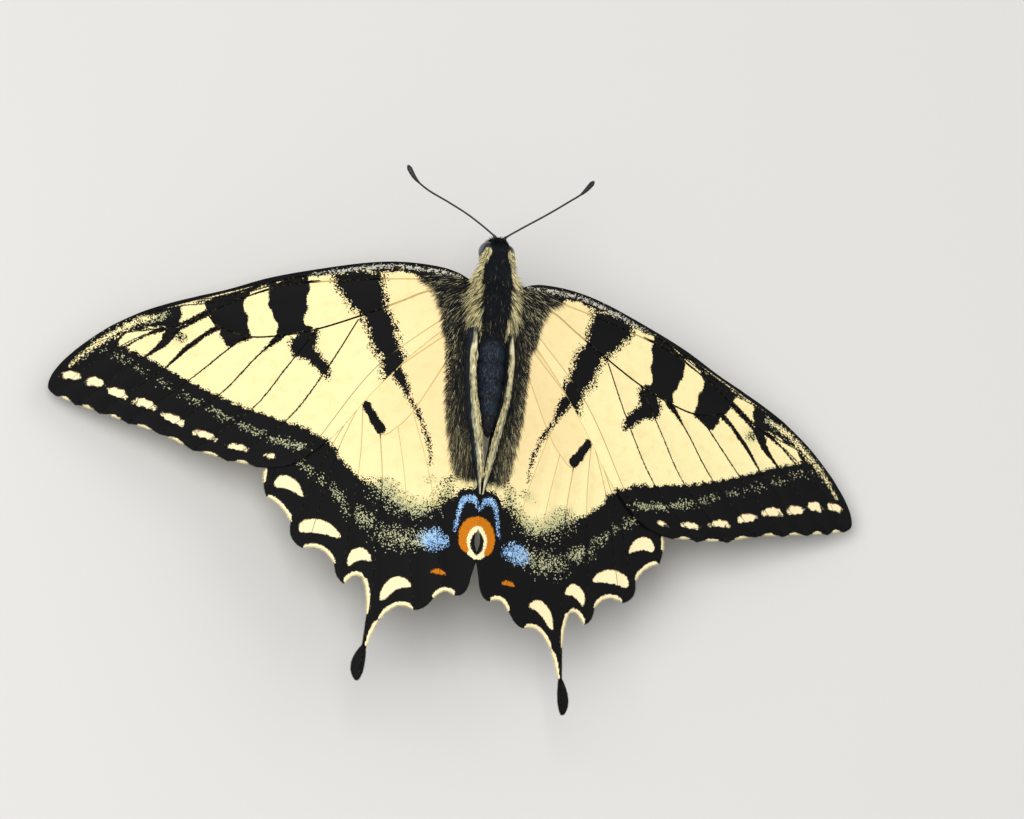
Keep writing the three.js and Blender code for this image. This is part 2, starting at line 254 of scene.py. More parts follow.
def tufts(roots, lie, lift, length, width, patch, values, curl=0.0, flat=1.0):
    # Tapered locks: root + length (lie t + curl lift t^2), radius width (1 - t^taper), closed at a tip.
    # lie and lift are unit directions (n, 3), patch the root's place on the skin's unwrap
    n, rings, around = len(roots), lock["rings"], lock["around"]
    t = np.arange(rings) / rings
    bend = lift * np.broadcast_to(curl, n)[:, None]
    reach = lie[:, None] * t[:, None] + bend[:, None] * t[:, None] ** 2
    centre = roots[:, None] + length[:, None, None] * reach
    across = unit(np.cross(lie, lift))
    over = unit(np.cross(across, lie))
    turn = np.arange(around) / around * tau
    radius = width[:, None] * (1 - t ** lock["taper"]) * np.where(t == 0, lock["rootWidth"], 1)
    ring = across[:, None, None] * np.cos(turn)[:, None] + flat * over[:, None, None] * np.sin(turn)[:, None]
    body = centre[:, :, None] + radius[:, :, None, None] * ring
    tip = roots + length[:, None] * (lie + bend)
    each = rings * around + 1
    first = (np.arange(n) * each)[:, None, None]
    j = np.arange(around)
    last = (rings - 1) * around
    tips = np.stack([last + j, last + (j + 1) % around, np.full(around, each - 1)], -1)
    spread = np.vstack([np.stack([np.repeat(t, around), np.tile(j / around, rings)], -1), [1, 0.5]]) - 0.5
    kept = {key: np.repeat(value, each) for key, value in values.items()}
    kept["along"] = np.tile(np.append(np.repeat(t, around), 1), n)
    return facingOut({
        "points": np.concatenate([body.reshape(n, -1, 3), tip[:, None]], 1).reshape(-1, 3),
        "faces": [(first + corners).reshape(-1, corners.shape[1])
                  for corners in (ringFaces(rings, around), tips, j[None, ::-1])],
        "uv": (patch[:, None] + lock["mapSize"] * spread[None]).reshape(-1, 2), "values": kept})


# Shader nodes


def plug(tree, node, inputs):
    # Sockets are linked to the node's inputs, numbers and colours are set on them
    for key, value in inputs.items():
        if isinstance(value, bpy.types.NodeSocket):
            tree.links.new(value, node.inputs[key])
        else:
            node.inputs[key].default_value = value
    return node


def tools(tree):
    # put adds a node with its settings and inputs; the others are kinds of node that return a socket
    def put(kind, inputs=None, **settings):
        node = tree.nodes.new("ShaderNode" + kind)
        for key, value in settings.items():
            setattr(node, key, value)
        return plug(tree, node, inputs or {})

    def math2(operation, a, b, clamp=False):
        return put("Math", {0: a, 1: b}, operation=operation, use_clamp=clamp).outputs[0]

    def blend(share, a, b):
        return put("Mix", {0: share, 6: a, 7: b}, data_type="RGBA", clamp_factor=True).outputs[2]

    def value(name):
        return put("Attribute", attribute_name=name, attribute_type="GEOMETRY").outputs["Fac"]

    return put, math2, blend, value


def newGroup(name, inputs, outputs):
    tree = bpy.data.node_groups.new(name, "ShaderNodeTree")
    for label, kind, default in inputs:
        socket = tree.interface.new_socket(label, in_out="INPUT", socket_type="NodeSocket" + kind)
        socket.default_value = default
    for label, kind in outputs:
        tree.interface.new_socket(label, in_out="OUTPUT", socket_type="NodeSocket" + kind)
    entry = tree.nodes.new("NodeGroupInput")
    leave = tree.nodes.new("NodeGroupOutput")
    return tree, entry.outputs, leave.inputs


def newMaterial(name):
    material = bpy.data.materials.new(name)
    material.use_nodes = True
    tree = material.node_tree
    shader = tree.nodes["Principled BSDF"]
    return material, tree, shader


def paint(hexColour):
    # sRGB hex to linear: ((c + 0.055) / 1.055)^2.4
    c = np.array([int(hexColour[i:i + 2], 16) for i in (0, 2, 4)]) / 255
    linear = np.where(c <= 0.04045, c / 12.92, ((c + 0.055) / 1.055) ** 2.4)
    return (*linear, 1.0)


def scaleGrainGroup():
    # Overlapping wing scales: cells about a tenth of a millimetre, each with three random numbers
    tree, entry, leave = newGroup(
        "scale grain", [("Position", "Vector", (0, 0, 0)), ("Per Metre", "Float", 9000)],
        [("Grain", "Float"), ("Grain 2", "Float"), ("Grain 3", "Float"), ("Height", "Float")])
    put, math2, *_ = tools(tree)
    cells = put("TexVoronoi", {"Vector": entry["Position"], "Scale": entry["Per Metre"], "Randomness": 0.9})
    split = put("SeparateColor", {0: cells.outputs["Color"]})
    for label, socket in zip(("Grain", "Grain 2", "Grain 3"), split.outputs):
        tree.links.new(socket, leave[label])
    tree.links.new(math2("SUBTRACT", 1.0, cells.outputs["Distance"]), leave["Height"])
    return tree


def dustyEdgeGroup():
    # Mask of a marking: 0.5 - (edge + softness (grain - 0.5)) / 0.05, clamped, edge negative inside
    tree, entry, leave = newGroup(
        "dusty edge", [("Edge", "Float", 0), ("Softness", "Float", 0.1), ("Grain", "Float", 0.5)],
        [("Mask", "Float")])
    _, math2, *_ = tools(tree)
    shake = math2("MULTIPLY", math2("SUBTRACT", entry["Grain"], 0.5), entry["Softness"])
    ramp = math2("MULTIPLY", math2("ADD", entry["Edge"], shake), 20.0)
    tree.links.new(math2("SUBTRACT", 0.5, ramp, clamp=True), leave["Mask"])
    return tree


scaleGrain = scaleGrainGroup()
dustyEdge = dustyEdgeGroup()


def placeGroup(tree, group, inputs):
    node = tree.nodes.new("ShaderNodeGroup")
    node.node_tree = group
    return plug(tree, node, inputs)


# Wings: outlines

forewing = {
    "step": 0.125, "thickness": 0.1, "lift": 0.05,
    "rootFront": (2.2, 1.6),
    "costa": [(3.6, 2.35), (5, 2.75), (7.5, 3.0), (10, 2.95), (12.5, 2.6), (15, 2.05), (18, 1.3), (20, 0.75),
              (22, 0.1), (25, -1.1), (28, -2.1), (30, -2.8), (32.2, -3.7), (34, -4.6), (36, -5.85),
              (38, -7.5), (39.7, -9.2), (40.7, -10.6), (41.1, -11.7), (41.0, -12.4), (40.3, -13.0)],
    "veinEnds": [(38.4, -13.75), (36.1, -14.4), (33.4, -15.2), (30.4, -16.0), (27.2, -17.35), (23.9, -18.1),
                 (21.2, -18.4)],
    "scallop": 0.25,
    "innerMargin": [(20.0, -18.35), (18.3, -18.0), (17, -17.3), (14.9, -15.4), (13.5, -13.8), (12, -11.6),
                    (11, -10.2), (9.3, -8.1), (8.3, -6.9), (6.5, -5.0), (4.3, -3.0), (2.4, -1.9)],
}
hindwing = {
    "step": 0.125, "thickness": 0.1, "lift": -0.35,
    "hiddenCosta": [(2.2, -0.6), (3.3, -0.7), (8, -2.4), (13, -6.6), (17.5, -12), (19.9, -16.4),
                    (20.35, -18.4)],
    "margin": [  # from the outer corner inwards, each bend as (pull, end)
        ((20.6, -19.6), (20.1, -21.1)), ((18.6, -21.5), (17.6, -23.4)),
        ((17.9, -25.3), (16.4, -25.9)), ((14.4, -25.1), (13.3, -27.2)),
        ((13.2, -28.6), (12.3, -29.1)), ((11.5, -27.6), (10.6, -28.3)),
        ((9.95, -29.4), (10.0, -32.0)), ((10.1, -33.6), (10.2, -35.0)),
        ((11.25, -36.2), (11.1, -37.5)), ((10.85, -38.5), (10.45, -38.5)),
        ((9.75, -38.0), (9.85, -35.2)), ((9.65, -34.0), (8.85, -32.4)),
        ((7.4, -29.9), (5.7, -31.1)), ((4.8, -31.2), (4.0, -29.9)),
        ((3.0, -28.3), (1.9, -29.3)), ((0.9, -29.4), (0.6, -27.6))],
    "innerMargin": [(0.34, -26.5), (0.1, -25.5), (0.2, -24.8), (0.42, -24.0), (0.4, -23.2), (0.15, -22.5),
                    (0.04, -21.8), (0.04, -19), (0.2, -17.6), (0.5, -15.3), (0.72, -13.3), (0.95, -11),
                    (1.3, -8.5), (1.45, -6.2), (1.6, -4.6), (1.8, -2.5)],
}
wingShapes = {"forewing": forewing, "hindwing": hindwing}


def forewingBends():
    # Shallow bays between the veins' ends, each as (pull, end)
    ends = np.array(forewing["veinEnds"])
    starts = np.vstack([forewing["costa"][-1], ends[:-1]])
    return list(zip((starts + ends) / 2 + [0, 2 * forewing["scallop"]], ends))


def forewingOutline():
    margin = bentLine(forewing["costa"][-1], forewingBends())
    return np.vstack([forewing["rootFront"], smoothLine(forewing["costa"], 5), margin[:-1],
                      smoothLine([forewing["veinEnds"][-1], *forewing["innerMargin"]], 4)])


def hindwingOutline():
    costa = smoothLine(hindwing["hiddenCosta"], 5)
    margin = bentLine(costa[-1], hindwing["margin"])
    return np.vstack([costa, margin, smoothLine(hindwing["innerMargin"], 4)])


outlines = {"forewing": forewingOutline(), "hindwing": hindwingOutline()}

creamBends = [1, 3, 5, 6, 11, 12, 14]  # bends of the hindwing's margin that are cream


def marginTone(kind):
    # The margin as points, and how cream each is: high in the bays, none at the teeth
    perBend = 16
    if kind == "forewing":
        line = bentLine(forewing["costa"][-1], forewingBends(), perBend)
        t = (np.arange(len(line)) % perBend + 1) / perBend
        return line, np.exp(-((t - 0.5) / 0.2) ** 2)
    line = bentLine(hindwing["hiddenCosta"][-1], hindwing["margin"], perBend)
    number = np.arange(len(line))
    t = (number % perBend + 1) / perBend
    cream = np.isin(number // perBend, creamBends) * smoothStep(0, 0.2, np.minimum(t + 0.05, 1.05 - t))
    return line, np.where(number < perBend / 2, 0.8, cream)


# Wings: veins, (points, radius at the root, radius at the margin, how black)

forewingVeins = {
    "subcosta": ([(3, 2.0), (8, 2.5), (14, 1.7), (20, 0.25), (25, -1.65)], 0.16, 0.1, 1),
    "radius": ([(2.8, 1.4), (8, 1.35), (14, 0.7), (20, -0.35), (24, -2.1), (26.7, -3.6)], 0.12, 0.1, 0.25),
    "radius1": ([(16.5, 0.45), (20, -0.1), (24, -1.55), (27.5, -2.35)], 0.09, 0.07, 1),
    "radius2": ([(21, -0.8), (25, -2.3), (29, -3.1), (32.5, -4.1)], 0.08, 0.06, 1),
    "radius3": ([(26.7, -3.6), (29.7, -5.2), (32.2, -5.8), (35, -6.5), (38.4, -8.3)], 0.1, 0.06, 1),
    "radius4": ([(29.7, -5.2), (32.2, -6.25), (34.2, -7.3), (38, -10.2), (39.9, -12.6)], 0.08, 0.06, 1),
    "radius5": ([(26.7, -3.6), (28.5, -4.9), (30.3, -6.4), (32.3, -8.4), (38.2, -13.5)], 0.1, 0.06, 1),
    "media1": ([(25.6, -4.9), (27.5, -6.4), (30.3, -9.4), (35.9, -14.1)], 0.12, 0.06, 1),
    "media2": ([(22.9, -5.65), (24.3, -6.75), (28, -10.4), (33.3, -15.0)], 0.12, 0.06, 1),
    "media3": ([(19.8, -5.3), (22, -7.7), (25.2, -11.7), (30.3, -15.8)], 0.12, 0.06, 1),
    "cubitus": ([(2.8, 0.3), (6, 0.4), (9, -1), (12.3, -2.6), (16.4, -4.35), (19.8, -5.3), (22.9, -5.65),
                 (25.6, -4.9), (26.5, -4.1), (26.7, -3.6)], 0.14, 0.1, 0.8),
    "cubitus1": ([(16.5, -4.4), (19, -8.3), (22, -12.8), (27.1, -17.2)], 0.1, 0.06, 0.9),
    "cubitus2": ([(12.7, -3.1), (15.3, -8.2), (18.7, -13.6), (23.8, -18)], 0.1, 0.06, 0.8),
    "anal": ([(2.8, -0.8), (4.5, -2), (10.8, -7.7), (15.7, -15.2), (17.9, -17.7)], 0.1, 0.06, 0.5),
}
hindwingVeins = {
    "subcosta": ([(2.6, -1.4), (9, -5.4), (15, -12), (19.0, -17.5), (20, -20.9)], 0.1, 0.06, 0.4),
    "sector": ([(2.6, -2.2), (9.8, -8.4), (12.5, -12), (15.6, -18.6), (17.5, -25.1)], 0.1, 0.06, 0.35),
    "media1": ([(12.0, -11.3), (13.7, -16), (15.2, -22.5), (15.9, -25.6)], 0.08, 0.06, 0.3),
    "media2": ([(11.7, -11.4), (11.6, -16.5), (12.1, -23), (12.6, -28.8)], 0.08, 0.06, 0.3),
    "media3": ([(9.9, -14.1), (9.4, -19), (9.5, -25), (9.75, -31), (10.3, -37.8)], 0.1, 0.05, 0.35),
    "cubitus1": ([(8.3, -13.2), (7.3, -18.5), (6.6, -24.5), (5.6, -30.8)], 0.08, 0.06, 0.3),
    "cubitus2": ([(7.0, -11.6), (5.0, -18), (3.9, -24), (3.3, -28.7)], 0.08, 0.06, 0.3),
    "cell": ([(2.4, -2.8), (5.2, -8.3), (7.0, -11.6), (8.3, -13.2), (9.9, -14.1), (11.7, -11.4),
              (12.0, -11.3), (9.8, -8.4)], 0.1, 0.07, 0.35),
}
wingVeins = {"forewing": forewingVeins, "hindwing": hindwingVeins}

# Wings: upper markings

forewingMarks = {
    "edgeWidth": 0.12, "veinLine": 0.06,
    # each black patch: (softness of its edge, its outline)
    "black": [
        (0.25, [(2.2, 1.2), (3.3, 1.0), (6, 1.55), (7.5, 1.9), (9, 1.95), (12, 1.7), (15, 1.25), (18, 0.6),
                (20, 0.05), (21.5, -0.5), (22.5, -1.0), (24.5, -1.65), (27, -2.45), (29.2, -3.15),
                (29.15, -4.2), (29.35, -4.9), (29.9, -5.8), (30.35, -6.7), (30.7, -6.6), (30.45, -5.7),
                (30.8, -5.25), (32, -5.65), (33.3, -5.9), (34.5, -6.25), (35.2, -6.9), (36.2, -7.1),
                (38, -8.4), (42, -9), (42, -6), (36, -3), (28, 0), (16, 4), (2, 5)]),
        (0.5, [(2, 2), (7.6, 2.1), (7.3, 1.6), (6.1, 0.9), (5.4, 0.3), (4.9, -0.9), (4.6, -2.2), (4.2, -3.4),
               (2, -3)]),
        (0.95, [(11, 1.9), (10.5, 0.5), (10.05, -1.5), (9.3, -3), (8.8, -4.7), (8.25, -6.2), (7.9, -7.4),
                (9.9, -8.9), (10.2, -7.3), (10.4, -6.6), (11.3, -5.7), (11.6, -4.5), (12.2, -3.2),
                (13.6, -1.8), (14.3, -0.8), (15.1, 0.3), (15, 1.7)]),
        (0.15, [(17.8, 1.0), (17.55, 0), (17.6, -1), (17.5, -2), (17.75, -3), (17.6, -3.9), (16.8, -4.3),
                (18, -4.85), (19.9, -5.3), (20.2, -4.5), (20.6, -3.6), (21.15, -2), (21.35, -1.2),
                (20.5, 0)]),
        (0.15, [(23.3, -1.2), (23.55, -2.5), (23.1, -3.7), (22.85, -4.3), (22.8, -5.5), (23.2, -6.05),
                (24.2, -6.7), (24.6, -6.7), (25.3, -6), (25.6, -5.2), (26.3, -4.6), (26.8, -3.3),
                (27, -2.3)]),
        (0.55, [(16.4, -4.5), (18.4, -4.9), (18.9, -6.2), (18.4, -7.4), (17.6, -7.4), (16.6, -8.0),
                (15.7, -9.0), (15.0, -9.2), (15.1, -7.9), (15.9, -6.9), (16.5, -6.0)]),
        (0.9, [(28.9, -6.0), (29.3, -5.9), (29.5, -6.2), (29.3, -6.5), (28.9, -6.45)]),
        (0.35, [(36.4, -6.9), (35.2, -7.05), (34.3, -7.7), (32.4, -8.45), (30.4, -9.4), (28, -10.5),
                (25.2, -11.65), (22.1, -12.9), (20, -13.4), (18.5, -13.75), (17, -14.1), (15.7, -14.9),
                (14.6, -15.6), (17, -20), (30, -20), (44, -14), (42, -8)]),
    ],
    # black strokes among the outer cells: (line, half width at each point)
    "strokes": [([(30.9, -5.5), (32.0, -6.1), (33.2, -6.9), (34.3, -7.7), (35.4, -8.3)],
                 [0.22, 0.13, 0.11, 0.13, 0.25]),
                ([(29.0, -5.1), (29.8, -6.0), (30.7, -7.0), (31.5, -7.8), (32.4, -8.6)],
                 [0.15, 0.3, 0.38, 0.2, 0.12]),
                ([(26.3, -5.2), (27.7, -6.6), (28.7, -7.5), (30.3, -9.4)], [0.14, 0.27, 0.24, 0.08]),
                ([(29.9, -5.0), (30.5, -5.1), (32, -5.25), (34.2, -6.1), (34.9, -6.9), (36, -7.8)],
                 [0.35, 0.22, 0.16, 0.16, 0.18, 0.25]),
                ([(29.75, -3.8), (29.8, -5.2), (30.6, -6.3)], [0.45, 0.35, 0.3])],
    # cream spots along the margin: (centre, length, height, tilt in degrees)
    "spots": [((39.02, -10.83), 1.8, 0.72, -2), ((36.8, -11.31), 1.6, 0.85, 10),
              ((34.59, -12.2), 1.8, 0.8, 13), ((32.0, -13.09), 2.0, 0.78, 16),
              ((29.19, -14.36), 2.05, 0.76, 20), ((26.28, -15.7), 2.0, 0.62, 17),
              ((23.03, -16.64), 1.65, 0.55, 12), ((20.0, -17.2), 0.95, 0.45, 8)],
    # pale dust on the black: (line, half width, share at each point)
    "dust": [([(16.5, -16.2), (20, -15.5), (24, -14.0), (28.5, -11.9), (32, -10.2), (34.5, -8.8),
               (36.6, -8.0)], 0.33, [0.55, 0.5, 0.24, 0.14, 0.16, 0.16, 0.12]),
             ([(30.9, -4.2), (31.6, -4.5), (33, -4.9), (35, -6.1), (37, -7.6), (38.4, -9.0)], 0.42,
              [0.45, 0.5, 0.3, 0.3, 0.3, 0.1])],
    # bands of ground colour through the black: (line, half width at each point)
    "bands": [([(31.3, -4.3), (32.2, -4.6), (33.4, -5.05), (35, -6.15), (37, -7.6), (38.4, -8.9),
               (39.2, -9.9)], [0.0, 0.1, 0.16, 0.16, 0.14, 0.06, 0.0])],
    # silvery lines: (line, half width at each point)
    "lines": [([(18, 0.9), (20, 0.25), (23, -0.8), (26, -1.85), (28.5, -2.75), (31.2, -3.7)],
               [0.0, 0.02, 0.04, 0.05, 0.05, 0.0])],
    # denser pale dust, not parted along the veins
    "clouds": [([(3.4, 1.9), (5.4, 2.3), (7.5, 2.45), (9.7, 2.48), (12, 2.15), (14.7, 1.6), (18, 0.8)], 0.19,
                [0.35, 0.55, 0.6, 0.7, 0.75, 0.6, 0.1])],
    "rimWidth": 0.13, "wobble": 0.15, "powderAt": (29.2, -6.2), "powderReach": 0.75,
    # black wedges along the veins' first part: (vein, half width at its root, share of its length)
    "streaks": [("media1", 0.36, 0.5), ("media2", 0.38, 0.4), ("media3", 0.42, 0.33), ("radius5", 0.32, 0.62),
                ("radius4", 0.28, 0.5), ("cubitus1", 0.14, 0.35), ("radius3", 0.34, 0.45)],
    # what differs on the lower side: one pale band in place of the spots, more dust
    "under": {
        "lines": [([(19.6, -17.2), (23.0, -16.6), (26.3, -15.65), (29.2, -14.3), (32, -13.1), (34.6, -12.15),
                    (36.8, -11.3), (39.0, -10.75), (39.9, -10.2)],
                    [0.2, 0.36, 0.42, 0.45, 0.47, 0.48, 0.48, 0.42, 0.15])],
        "dust": [([(16.5, -16.2), (20, -15.5), (24, -14.0), (28.5, -11.9), (32, -10.2), (34.5, -8.8),
                  (36.6, -8.0)], 0.5, [0.5, 0.5, 0.45, 0.4, 0.4, 0.4, 0.3])],
    },
}
eyespotOrange = [(-0.2, -21.4), (0.9, -21.5), (1.6, -22.1), (1.95, -23.1), (1.85, -24.2), (1.4, -24.9),
                 (0.9, -24.9), (1.15, -23.9), (0.9, -22.8), (0.3, -22.3), (-0.2, -22.3)]
hindwingMarks = {
    "edgeWidth": 0.27, "veinLine": 0.0,
    "black": [
        (0.55, [(2.2, 0), (4.6, -1.2), (4.25, -4), (4.0, -8), (3.85, -10), (3.6, -12), (3.15, -15),
                (2.85, -17), (2.2, -17.8), (0.9, -17.9), (0.2, -17.4), (0, -15), (0, -8), (0, -1)]),
        (0.5, [(8.3, -7.2), (9.2, -8.1), (8.45, -9.2), (7.6, -10.4), (6.85, -11.5), (6.15, -12.9),
               (5.45, -14.6), (5.1, -16.6), (4.95, -16.5), (5.2, -14.5), (5.85, -12.7), (6.55, -11.3),
               (7.2, -10.2)]),
        (0.15, [(11.35, -10.9), (11.8, -11.45), (11.2, -12.4), (10.15, -14.05), (9.35, -13.6),
                (10.3, -12.2)]),
        (0.5, [(21.5, -14), (14.8, -15.3), (13.5, -16.7), (12.5, -17.6), (11.5, -18.5), (10.5, -19.1),
                (9.5, -19.8), (8.6, -20.7), (7.2, -21.6), (6, -21.9), (4.6, -21.6), (3.3, -20.8),
                (2.7, -19.9), (2.1, -18.9), (1.0, -18.6), (-1, -18.9), (-1, -40), (14, -40), (24, -30)]),
    ],
    # cream crescents inside the margin
    "crescents": [
        [(16.65, -20.9), (16.9, -20.1), (17.4, -19.4), (18.2, -18.95), (19.0, -19.05), (19.4, -19.7),
         (19.2, -20.15), (18.3, -20.2), (17.4, -20.55)],
        [(12.95, -24.65), (13.4, -23.8), (14.6, -23.1), (16.1, -23.1), (16.75, -23.6), (16.7, -24.35),
         (15.4, -24.35), (14.1, -24.45)],
        [(9.95, -26.7), (10.2, -25.9), (10.9, -25.45), (11.7, -25.75), (12.1, -26.5), (12.0, -27.35),
         (11.5, -26.95), (10.8, -26.6)],
        [(6.05, -28.9), (6.5, -28.25), (7.3, -28.0), (8.2, -28.45), (8.75, -29.4), (8.85, -30.4),
         (8.4, -30.3), (7.7, -29.55), (6.9, -29.05)],
    ],
    "orange": [[(2.9, -27.4), (3.3, -27.0), (3.9, -26.95), (4.35, -27.25), (3.9, -27.4), (3.4, -27.45)],
               eyespotOrange],
    "creamHook": [[(-0.2, -21.9), (0.6, -22.2), (1.15, -23.0), (1.25, -24.1), (1.0, -25.1), (0.3, -25.6),
                   (-0.2, -25.5), (0.3, -25.1), (0.75, -24.5), (0.8, -23.6), (0.4, -22.9), (-0.2, -22.7)]],
    "blue": [([(3.0, -24.2), (3.9, -23.2), (5.0, -23.3), (5.6, -24.2), (4.9, -24.9), (3.8, -24.9)], 0.9),
             ([(0.0, -20.6), (0.5, -19.6), (1.2, -19.25), (1.85, -19.6), (2.15, -20.6), (2.45, -22.9),
               (2.22, -22.7), (1.86, -20.9), (1.44, -20.06), (0.75, -20.1), (0.15, -20.8)], 0.3)],
    # pale dust on the black: (line, half width, share at each point)
    "dust": [([(4.0, -21.4), (6.5, -21.9), (8.5, -21.4), (10.5, -20.1)], 0.4, [0.2, 0.25, 0.2, 0.1]),
             ([(10.2, -22.8), (11, -22.5), (12.1, -21.9)], 0.65, [0.4, 0.55, 0.4]),
             ([(13.0, -20.9), (14.3, -19.7), (15.7, -18.6), (17, -17.6)], 0.4, [0.3, 0.35, 0.35, 0.3])],
    "clouds": [([(5.9, -24.2), (7.3, -24.3), (9.0, -24.0)], 0.9, [0.38, 0.44, 0.3])],
    "streaks": [],
    "rimWidth": 0.12, "wobble": 0.08,
    # what differs on the lower side: a row of blue clouds and orange-tinted crescents
    "under": {
        "blue": [([(17.6, -18.2), (18.3, -17.2), (16.7, -16.8), (15.2, -18.6), (15.9, -19.4)], 0.8),
                 ([(14.6, -19.6), (15.4, -20.3), (13.6, -22.1), (12.7, -21.4)], 0.8),
                 ([(11.9, -22.0), (12.6, -22.8), (10.6, -24.0), (9.9, -23.3)], 0.8),
                 ([(9.2, -23.8), (9.4, -24.7), (6.9, -25.0), (6.8, -24.0)], 0.8),
                 ([(6.2, -24.0), (6.2, -25.0), (4.3, -25.1), (4.2, -24.1)], 0.8),
                 ([(3.4, -23.5), (3.5, -24.7), (2.6, -24.5), (2.5, -23.3)], 0.6)],
        "orange": [[(17.3, -20.0), (18.2, -19.4), (18.9, -19.5), (18.2, -19.9)],
                   [(13.9, -24.1), (14.7, -23.5), (15.9, -23.5), (15.6, -24.0), (14.8, -24.1)],
                   [(10.6, -26.1), (11.1, -25.9), (11.6, -26.3), (11.4, -26.7)],
                   [(7.0, -28.6), (7.6, -28.5), (8.2, -29.2), (8.3, -29.9), (7.7, -29.2)],
                   [(2.9, -27.2), (3.3, -26.8), (3.9, -26.75), (4.35, -27.05), (3.9, -27.2), (3.4, -27.25)],
                   eyespotOrange],
    },
}
markings = {"forewing": forewingMarks, "hindwing": hindwingMarks}


def ellipseDistance(xy, centre, size, tilt):
    # Rounded spot: (|x/a|^p + |y/b|^p)^(1/p) - 1 times the smaller half size, p = 2.6
    c, s = math.cos(math.radians(tilt)), math.sin(math.radians(tilt))
    x, y = (xy - centre).T
    a, b = size[0] / 2, size[1] / 2
    along, over = x * c + y * s, y * c - x * s
    over = over + 0.22 * b * (along / a) ** 2  # the ends droop towards the margin
    return ((np.abs(along / a) ** 2.6 + np.abs(over / b) ** 2.6) ** (1 / 2.6) - 1) * min(a, b)


def bandShare(xy, line, halfWidth, shares):
    # Dust along a line: share exp(-(d / halfWidth)^2), shares read along the line
    path = smoothLine(line, 4)
    d, _, along = nearestOn(xy, path)
    return alongLine(along, shares) * np.exp(-(d / halfWidth) ** 2)


fade = {  # where the hindwing's yellow dissolves into the black, and how much
    "outer": (11.5, 8.5), "inner": (2.2, 3.4), "behind": (-17, -18.5), "soften": 2.2, "softenUnder": 0.6,
    "widen": 0.78, "dust": 0.52}


